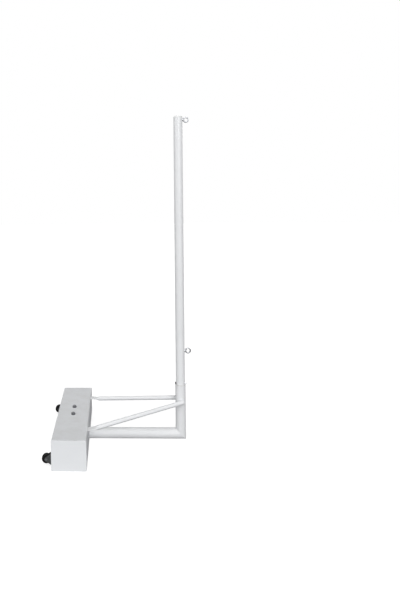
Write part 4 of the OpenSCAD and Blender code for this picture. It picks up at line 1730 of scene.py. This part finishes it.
@dataclass
class BallastBox:
    """The weighted box: a hollow section with welded end plates and two bolts through its top."""

    middle_x: float = -223.5 * MM
    width: float = 150 * MM
    height: float = 130 * MM
    length: float = 560 * MM
    wall: float = 3 * MM
    corner: float = 5 * MM
    inner_corner: float = 2 * MM
    plate: float = 3 * MM
    plate_round: float = 1 * MM
    plate_round_steps: int = 5
    seam: float = 0.35 * MM
    plate_ease: float = 0.7 * MM
    section_ease: float = 0.8 * MM
    bolt_pitch: float = 76 * MM
    bolt_radius: float = 5 * MM
    bolt_head: Hexagonal = Hexagonal(16 * MM, 6.4 * MM)
    bolt_length: float = 116.4 * MM
    bolt_chamfer: float = 1 * MM
    bolt_turn: float = 17.0
    washer_radius: float = 10.2 * MM
    washer_bore: float = 5.2 * MM
    washer_edge: float = 0.3 * MM
    washer: float = 2 * MM
    fine_crease: float = 25.0

    def outline(self, inset: float, y: float, inner: bool = False) -> Ring:
        """Outline of the section at y, drawn in by an inset.

        Args:
            inset: Distance from the section's outside.
            y: Where the outline lies.
            inner: Whether it follows the inside of the wall.

        Returns:
            The ring.
        """
        radius = self.inner_corner if inner else self.corner - inset
        outline = rounded_rectangle(self.width - 2 * inset, self.height - 2 * inset, radius)
        return [Vector((self.middle_x + x, y, self.height / 2 + z)) for x, z in outline]

    def section(self, shop: Workshop) -> None:
        """Makes the hollow section, whose ends are eased for the weld.

        Args:
            shop: The workshop.
        """
        end = self.length / 2 - self.plate
        eased = end - self.section_ease
        rings = [self.outline(self.wall, -end, inner=True), self.outline(self.seam, -end),
                 self.outline(0, -eased), self.outline(0, eased),
                 self.outline(self.seam, end), self.outline(self.wall, end, inner=True)]
        shop.shell("ballast_section", Shell.loft(rings, closed=True), Body.BASE, BOX_PAINT, "ballast_box")

    def end_plate(self, shop: Workshop, end: End) -> None:
        """Makes an end plate with rounded edges, welded flush to the section.

        Args:
            shop: The workshop.
            end: Which end it closes.
        """
        face, edge = self.length / 2, self.plate_round
        rings = [self.outline(edge - aside, end.side * (face - edge + out))
                 for out, aside in arc((0, 0), edge, 0, 90, self.plate_round_steps)]
        rings.append(self.outline(0, end.side * (face - self.plate + self.plate_ease)))
        rings.append(self.outline(self.seam, end.side * (face - self.plate)))
        shop.shell(f"{end.value}_end_plate", Shell.loft(rings), Body.BASE, BOX_PAINT,
                   f"box_{end.value}_cover")

    def bolts(self, shop: Workshop) -> None:
        """Makes the two ballast bolts and their washers, one of each repeated in a row.

        Args:
            shop: The workshop.
        """
        first = Vector((self.middle_x, -self.bolt_pitch / 2, self.height))
        step = (0.0, self.bolt_pitch, 0.0)
        turn = Matrix.Rotation(math.radians(self.bolt_turn), 4, "Z")
        bolt = self.bolt_head.shell() + shank(self.bolt_radius, self.bolt_length, self.bolt_chamfer)
        bolts = shop.row("bolts", bolt.moved(turn), DULL_ZINC, step,
                         Matrix.Translation(first + Z_AXIS * self.washer))
        shop.piece("ballast_bolt_pair", bolts, Body.BASE, DULL_ZINC, "ballast_bolts", crease=self.fine_crease)
        bore, rim, edge, thick = self.washer_bore, self.washer_radius, self.washer_edge, self.washer
        washer = Shell.lathe([
            (bore, edge), (bore + edge, 0), (rim - edge, 0), (rim, edge), (rim, thick - edge),
            (rim - edge, thick), (bore + edge, thick), (bore, thick - edge)], closed=True)
        washers = shop.row("washers", washer, DULL_ZINC, step, Matrix.Translation(first))
        shop.piece("ballast_washer_pair", washers, Body.BASE, DULL_ZINC, "ballast_washers",
                   crease=self.fine_crease)

    def build(self, shop: Workshop) -> None:
        """Makes all the pieces of the box.

        Args:
            shop: The workshop.
        """
        self.section(shop)
        for end in End:
            self.end_plate(shop, end)
        self.bolts(shop)
        shop.keep({"ballast_plates": PLATE_STEEL, "ballast_nuts": DULL_ZINC})


# Casters

@dataclass
class Caster:
    """A transport wheel in a fork bracket on the outer side of the box, drawn about its axle."""

    end: End
    axle_x: float = -323.5 * MM
    axle_y: float = 238 * MM
    axle_z: float = 33 * MM
    axle_out: float = 25 * MM
    wheel_radius: float = 20 * MM
    wheel_width: float = 17 * MM
    tyre: float = 5.5 * MM
    tyre_edge: float = 0.4 * MM
    shoulder: float = 3 * MM
    shoulder_steps: int = 8
    crown: float = 0.15 * MM
    parting_height: float = 0.12 * MM
    parting_half: float = 0.35 * MM
    groove_in: float = 0.9 * MM
    groove_half: float = 0.3 * MM
    groove_depth: float = 0.35 * MM
    hub_radius: float = 14.45 * MM
    hub_width: float = 14 * MM
    hub_rim: float = 2.5 * MM
    hub_web: float = 5 * MM
    hub_bore: float = 4.33 * MM
    hub_boss: float = 6.73 * MM
    hub_edge: float = 0.4 * MM
    ribs: int = 6
    rib: float = 1.6 * MM
    rib_width: float = 11 * MM
    rib_bite: float = 0.8 * MM
    rib_draft: float = 0.25 * MM
    fork_half: float = 9.1 * MM
    plate: float = 2.5 * MM
    plate_edge: float = 0.35 * MM
    bracket_half_height: float = 25 * MM
    nose: float = 8 * MM
    nose_angles: Span = (4.0, 56.0)
    nose_steps: int = 9
    nose_least: float = 0.5 * MM
    bend: float = 2.75 * MM
    bend_steps: int = 8
    leg_steps: int = 8
    web_steps: int = 3
    screw_rise: float = 17 * MM
    screw_head: float = 5 * MM
    screw_high: float = 3.2 * MM
    screw_dome_steps: int = 8
    screw_radius: float = 2.5 * MM
    screw_socket: float = 3 * MM
    screw_socket_depth: float = 1.7 * MM
    screw_socket_point: float = 0.4 * MM
    screw_length: float = 10.5 * MM
    crease: float = 30.0

    @property
    def middle(self) -> Vector:
        """Middle of the wheel."""
        return Vector((self.axle_x, self.end.side * self.axle_y, self.axle_z))

    @property
    def about_axle(self) -> Matrix:
        """Puts what is turned about Z on the axle, with its Z along Y."""
        return facing(self.middle, Y_AXIS)

    def named(self, part: str) -> str:
        """Name of a part of this caster."""
        return f"{self.end.value}_{part}"

    def tyre_shell(self) -> Shell:
        """The tyre, with a crowned tread, a parting line and a groove in each side.

        Returns:
            The tyre, turned about Z.
        """
        half, bore, edge = self.wheel_width / 2, self.wheel_radius - self.tyre, self.tyre_edge
        tread, line, corner = self.wheel_radius - self.parting_height, self.parting_half, self.shoulder
        groove = tread - corner - self.groove_in
        profile = [(bore, -half + edge), (bore + edge, -half), (groove - self.groove_half, -half),
                   (groove, -half + self.groove_depth), (groove + self.groove_half, -half)]
        profile += arc((tread - corner - self.crown, -half + corner), corner, -90, 0, self.shoulder_steps)
        profile += [(tread, -2 * line), (tread, -line), (self.wheel_radius, 0)]
        profile += [(r, -y) for r, y in reversed(profile[:-1])]
        return Shell.lathe(profile, FINE_ROUND, closed=True)

    def hub_shell(self) -> Shell:
        """The turned form of the hub: boss, web and rim.

        Returns:
            The hub without its ribs, turned about Z.
        """
        half, rim, web = self.wheel_width / 2, self.hub_width / 2, self.hub_web / 2
        bore, boss, outer, edge = self.hub_bore, self.hub_boss, self.hub_radius, self.hub_edge
        inner = outer - self.hub_rim
        side = [(bore, half - edge), (bore + edge, half), (boss - edge, half), (boss, half - edge),
                (boss + edge / 2, web), (inner, web), (inner + edge, rim - edge), (inner + 2 * edge, rim),
                (outer - edge, rim), (outer, rim - edge)]
        return Shell.lathe(side + [(r, -y) for r, y in reversed(side)], FINE_ROUND, closed=True)

    def rib_shell(self) -> Shell:
        """One rib between the hub's boss and its rim, on both sides of the web.

        Returns:
            The rib, along X.
        """
        low, high = self.hub_boss - self.rib_bite, self.hub_radius - self.hub_rim + self.rib_bite
        rings = []
        for side in (-1, 0, 1):
            z, t = side * self.rib_width / 2, self.rib / 2 - abs(side) * self.rib_draft
            rings.append([Vector((x, y, z)) for x, y in ((low, -t), (high, -t), (high, t), (low, t))])
        return Shell.loft(rings)

    def wheel(self, shop: Workshop) -> None:
        """Makes the tyre and the ribbed hub.

        Args:
            shop: The workshop.
        """
        shop.shell(self.named("tyre"), self.tyre_shell().moved(self.about_axle), self.end.wheel, TYRE,
                   self.named("wheel_tyre"), crease=self.crease)
        ribs = shop.rules.ring.make("hub_ribs", self.rib_shell().mesh("one_rib"), shop.paint(HUB_BLACK),
                                    Count=self.ribs)
        hub = join_meshes(self.named("hub"), [self.hub_shell().mesh("hub_turned"), ribs])
        hub.transform(self.about_axle)
        shop.piece(self.named("hub"), hub, self.end.wheel, HUB_BLACK, self.named("wheel_hub"),
                   crease=self.crease)

    def leg_half_height(self, x: float) -> float:
        """Half height of a fork leg: a round nose, then a straight taper to the box.

        Args:
            x: Place along the leg, from the axle towards the box.

        Returns:
            The half height there.
        """
        corner = Vector((self.axle_out - self.plate, self.bracket_half_height))
        touch = math.atan2(corner.y, corner.x) + math.acos(self.nose / corner.length)
        touch_x, touch_z = self.nose * math.cos(touch), self.nose * math.sin(touch)
        if x <= touch_x:
            return math.sqrt(max(0.0, self.nose ** 2 - x ** 2))
        share = min(1.0, (x - touch_x) / (corner.x - touch_x))
        return touch_z + (corner.y - touch_z) * share

    def bracket_path(self) -> list[tuple[Vector, Vector]]:
        """Middle line of the bent plate from one nose to the other.

        Returns:
            Each point of the line with its outward normal.
        """
        y_mid = self.fork_half + self.plate / 2
        x_mid = self.axle_out - self.plate / 2
        straight_end = x_mid - self.bend
        leg = [-self.nose * math.cos(math.radians(a)) for a in even_steps(*self.nose_angles, self.nose_steps)]
        leg += even_steps(leg[-1], straight_end, self.leg_steps)[1:]
        half = [(Vector((x, -y_mid, 0)), -Y_AXIS) for x in leg]
        for angle in even_steps(0, math.radians(90), self.bend_steps)[1:]:
            normal = Vector((math.sin(angle), -math.cos(angle), 0))
            half.append((Vector((straight_end, self.bend - y_mid, 0)) + normal * self.bend, normal))
        web = even_steps(self.bend - y_mid, 0, self.web_steps)[1:-1]
        half += [(Vector((x_mid, y, 0)), X_AXIS) for y in web]
        flip = Vector((1, -1, 1))
        return half + [(Vector((x_mid, 0, 0)), X_AXIS)] + [(p * flip, n * flip) for p, n in reversed(half)]

    def bracket(self, shop: Workshop) -> None:
        """Makes the fork bracket from one plate, bent twice.

        Args:
            shop: The workshop.
        """
        rings = []
        for point, normal in self.bracket_path():
            high = max(self.nose_least, self.leg_half_height(point.x))
            t, ease = self.plate / 2, min(self.plate_edge, high / 3)
            corner = [(t, high - ease), (t - ease, high), (ease - t, high), (-t, high - ease)]
            section = corner + [(across, -z) for across, z in reversed(corner)]
            rings.append([point + normal * across + Z_AXIS * z for across, z in section])
        bracket = Shell.loft(rings).moved(Matrix.Translation(self.middle))
        shop.shell(self.named("fork_bracket"), bracket, Body.BASE, BRACKET_GREY,
                   self.named("caster_bracket"), crease=self.crease)

    def screws(self, shop: Workshop) -> None:
        """Makes the two socket-head screws that hold the bracket.

        Args:
            shop: The workshop.
        """
        top, edge = self.screw_high, self.screw_high / 2
        floor = top - self.screw_socket_depth
        profile = [(self.screw_radius, -self.screw_length), (self.screw_radius, 0), (self.screw_head, 0)]
        profile += arc((self.screw_head - edge, top - edge), edge, 0, 90, self.screw_dome_steps)
        rings = [pole(-self.screw_length), *(circle(r, z, ROUND) for r, z in profile),
                 hexagon(self.screw_socket, top), hexagon(self.screw_socket, floor),
                 pole(floor - self.screw_socket_point)]
        screw = Shell.loft(rings).moved(facing((self.axle_out - self.plate, 0, -self.screw_rise), -X_AXIS))
        pair = shop.row("screws", screw, DULL_ZINC, (0.0, 0.0, 2 * self.screw_rise),
                        Matrix.Translation(self.middle))
        shop.piece(self.named("bracket_screws"), pair, Body.BASE, DULL_ZINC, self.named("caster_screws"),
                   crease=self.crease)

    def build(self, shop: Workshop) -> None:
        """Makes all the pieces of the caster; the axle's nut shows at the end of the box.

        Args:
            shop: The workshop.
        """
        self.wheel(shop)
        self.bracket(shop)
        self.screws(shop)
        ThroughBolt(Body.BASE, self.middle, Y_AXIS * self.end.side, self.fork_half + self.plate,
                    (self.named("axle"), self.named("axle_bolt")),
                    (self.named("axle_lock"), self.named("axle_nut")), self.named("axle_thread"),
                    DULL_ZINC, DULL_ZINC).build(shop)
        shop.keep({self.named("axle_sleeve"): ZINC})


# Studio

@dataclass(frozen=True)
class PhotoCamera:
    """Camera at the photograph's view, in the frame of the post."""

    place: Point = (-0.0441, -2.0634, 1.0681)
    yaw: float = -0.0327
    pitch: float = 0.0068
    roll: float = -0.0110
    lens: float = 25.635
    shift: Span = (0.17514, -0.13327)
    sensor: float = 36.0
    clip: Span = (0.05, 100.0)

    def build(self) -> None:
        """Makes the camera and gives it to the scene."""
        data = bpy.data.cameras.new("photo_camera")
        data.sensor_width = self.sensor
        data.lens = self.lens
        data.shift_x, data.shift_y = self.shift
        data.clip_start, data.clip_end = self.clip
        cy, sy = math.cos(self.yaw), math.sin(self.yaw)
        cp, sp = math.cos(self.pitch), math.sin(self.pitch)
        ahead = Vector((sy * cp, cy * cp, -sp))
        right = Vector((cy, -sy, 0))
        up = Vector((sy * sp, cy * sp, cp))
        turned_right = right * math.cos(self.roll) + up * math.sin(self.roll)
        turned_up = up * math.cos(self.roll) - right * math.sin(self.roll)
        camera = bpy.data.objects.new("photo_camera", data)
        turn = Matrix((turned_right, turned_up, -ahead)).transposed().to_4x4()
        camera.matrix_world = Matrix.Translation(Vector(self.place)) @ turn
        bpy.context.scene.collection.objects.link(camera)
        bpy.context.scene.camera = camera
        LOG.info("camera at %s", self.place)


@dataclass(frozen=True)
class SoftLamp:
    """A broad, distant lamp that lights everything evenly from one side.

    Its strength is the brightness that it gives a white surface that faces it.
    """

    name: str
    turn: float
    elevation: float
    spread: float
    strength: float
    distance: float = 4.0

    def build(self) -> None:
        """Makes the lamp; its turn is measured from straight behind the camera to the right."""
        data = bpy.data.lights.new(self.name, "SUN")
        data.angle = math.radians(self.spread)
        data.energy = self.strength * math.pi
        lamp = bpy.data.objects.new(self.name, data)
        turn, rise = math.radians(self.turn), math.radians(self.elevation)
        level = Vector((math.sin(turn), -math.cos(turn), 0))
        source = level * math.cos(rise) + Z_AXIS * math.sin(rise)
        lamp.location = source * self.distance
        lamp.rotation_mode = "QUATERNION"
        lamp.rotation_quaternion = (-source).to_track_quat("-Z", "Y")
        bpy.context.scene.collection.objects.link(lamp)


@dataclass
class Studio:
    """Plain white floor and background with soft light from the camera's side."""

    floor_radius: float = 60.0
    floor_points: int = 64
    floor_colour: Colour = (0.42, 0.42, 0.42)
    floor_glow: float = 0.78
    ambient: float = 0.12
    lamps: tuple[SoftLamp, ...] = (
        SoftLamp("front_light", 12.0, 20.0, 44.0, 0.46),
        SoftLamp("left_light", -70.0, 18.0, 44.0, 0.26),
        SoftLamp("high_light", 4.0, 60.0, 60.0, 0.49),
    )

    def floor(self) -> None:
        """Makes the floor, white to the camera where no shadow falls."""
        mesh = bpy.data.meshes.new("studio_floor")
        rim = circle(self.floor_radius, 0.0, self.floor_points)
        mesh.from_pydata([p[:] for p in rim], [], [tuple(range(len(rim)))])
        floor = bpy.data.objects.new("studio_floor", mesh)
        material = bpy.data.materials.new("studio_floor")
        material.use_nodes = True
        material.node_tree.nodes.clear()
        w = Wiring(material.node_tree)
        plain = w.add("ShaderNodeBsdfDiffuse", {"Color": (*self.floor_colour, 1)})
        strength = self.seen(w, self.floor_glow, 0.0, in_gloss=False)
        glow = w.add("ShaderNodeEmission", {"Color": (1, 1, 1, 1), "Strength": strength})
        both = w.add("ShaderNodeAddShader", {0: plain.outputs[0], 1: glow.outputs[0]})
        w.add("ShaderNodeOutputMaterial", {"Surface": both.outputs[0]})
        mesh.materials.append(material)
        bpy.context.scene.collection.objects.link(floor)

    @staticmethod
    def seen(w: Wiring, strength: float, otherwise: float, in_gloss: bool = True) -> Socket:
        """Strength that the camera and glass see, and another for all other light.

        Args:
            w: Wiring of the tree.
            strength: What the camera and glass see.
            otherwise: What lights the object.
            in_gloss: Whether reflections see the first strength too.

        Returns:
            The strength's socket.
        """
        path = w.add("ShaderNodeLightPath")
        looks = w.maths("MAXIMUM", path.outputs["Is Camera Ray"], path.outputs["Is Transmission Ray"])
        if in_gloss:
            looks = w.maths("MAXIMUM", looks, path.outputs["Is Glossy Ray"])
        return w.maths("ADD", otherwise, w.maths("MULTIPLY", looks, strength - otherwise))

    def world(self) -> None:
        """Makes the white background and the even light all round."""
        world = bpy.data.worlds.new("studio_world")
        world.use_nodes = True
        world.node_tree.nodes.clear()
        w = Wiring(world.node_tree)
        strength = self.seen(w, 1.0, self.ambient)
        back = w.add("ShaderNodeBackground", {"Color": (1, 1, 1, 1), "Strength": strength})
        w.add("ShaderNodeOutputWorld", {"Surface": back.outputs[0]})
        bpy.context.scene.world = world

    def build(self) -> None:
        """Makes the whole studio."""
        bpy.context.scene.view_settings.view_transform = "Standard"
        self.floor()
        self.world()
        for lamp in self.lamps:
            lamp.build()
        LOG.info("studio with %d lamps", len(self.lamps))


def main() -> None:
    """Builds the camera, the post and the studio in order."""
    logging.basicConfig(level=logging.INFO, format="%(name)s: %(message)s")
    PhotoCamera().build()
    shop = Workshop()
    Mast().build(shop)
    WeldedFrame().build(shop)
    BallastBox().build(shop)
    for end in End:
        Caster(end).build(shop)
    Studio().build()


if __name__ == "__main__":
    main()
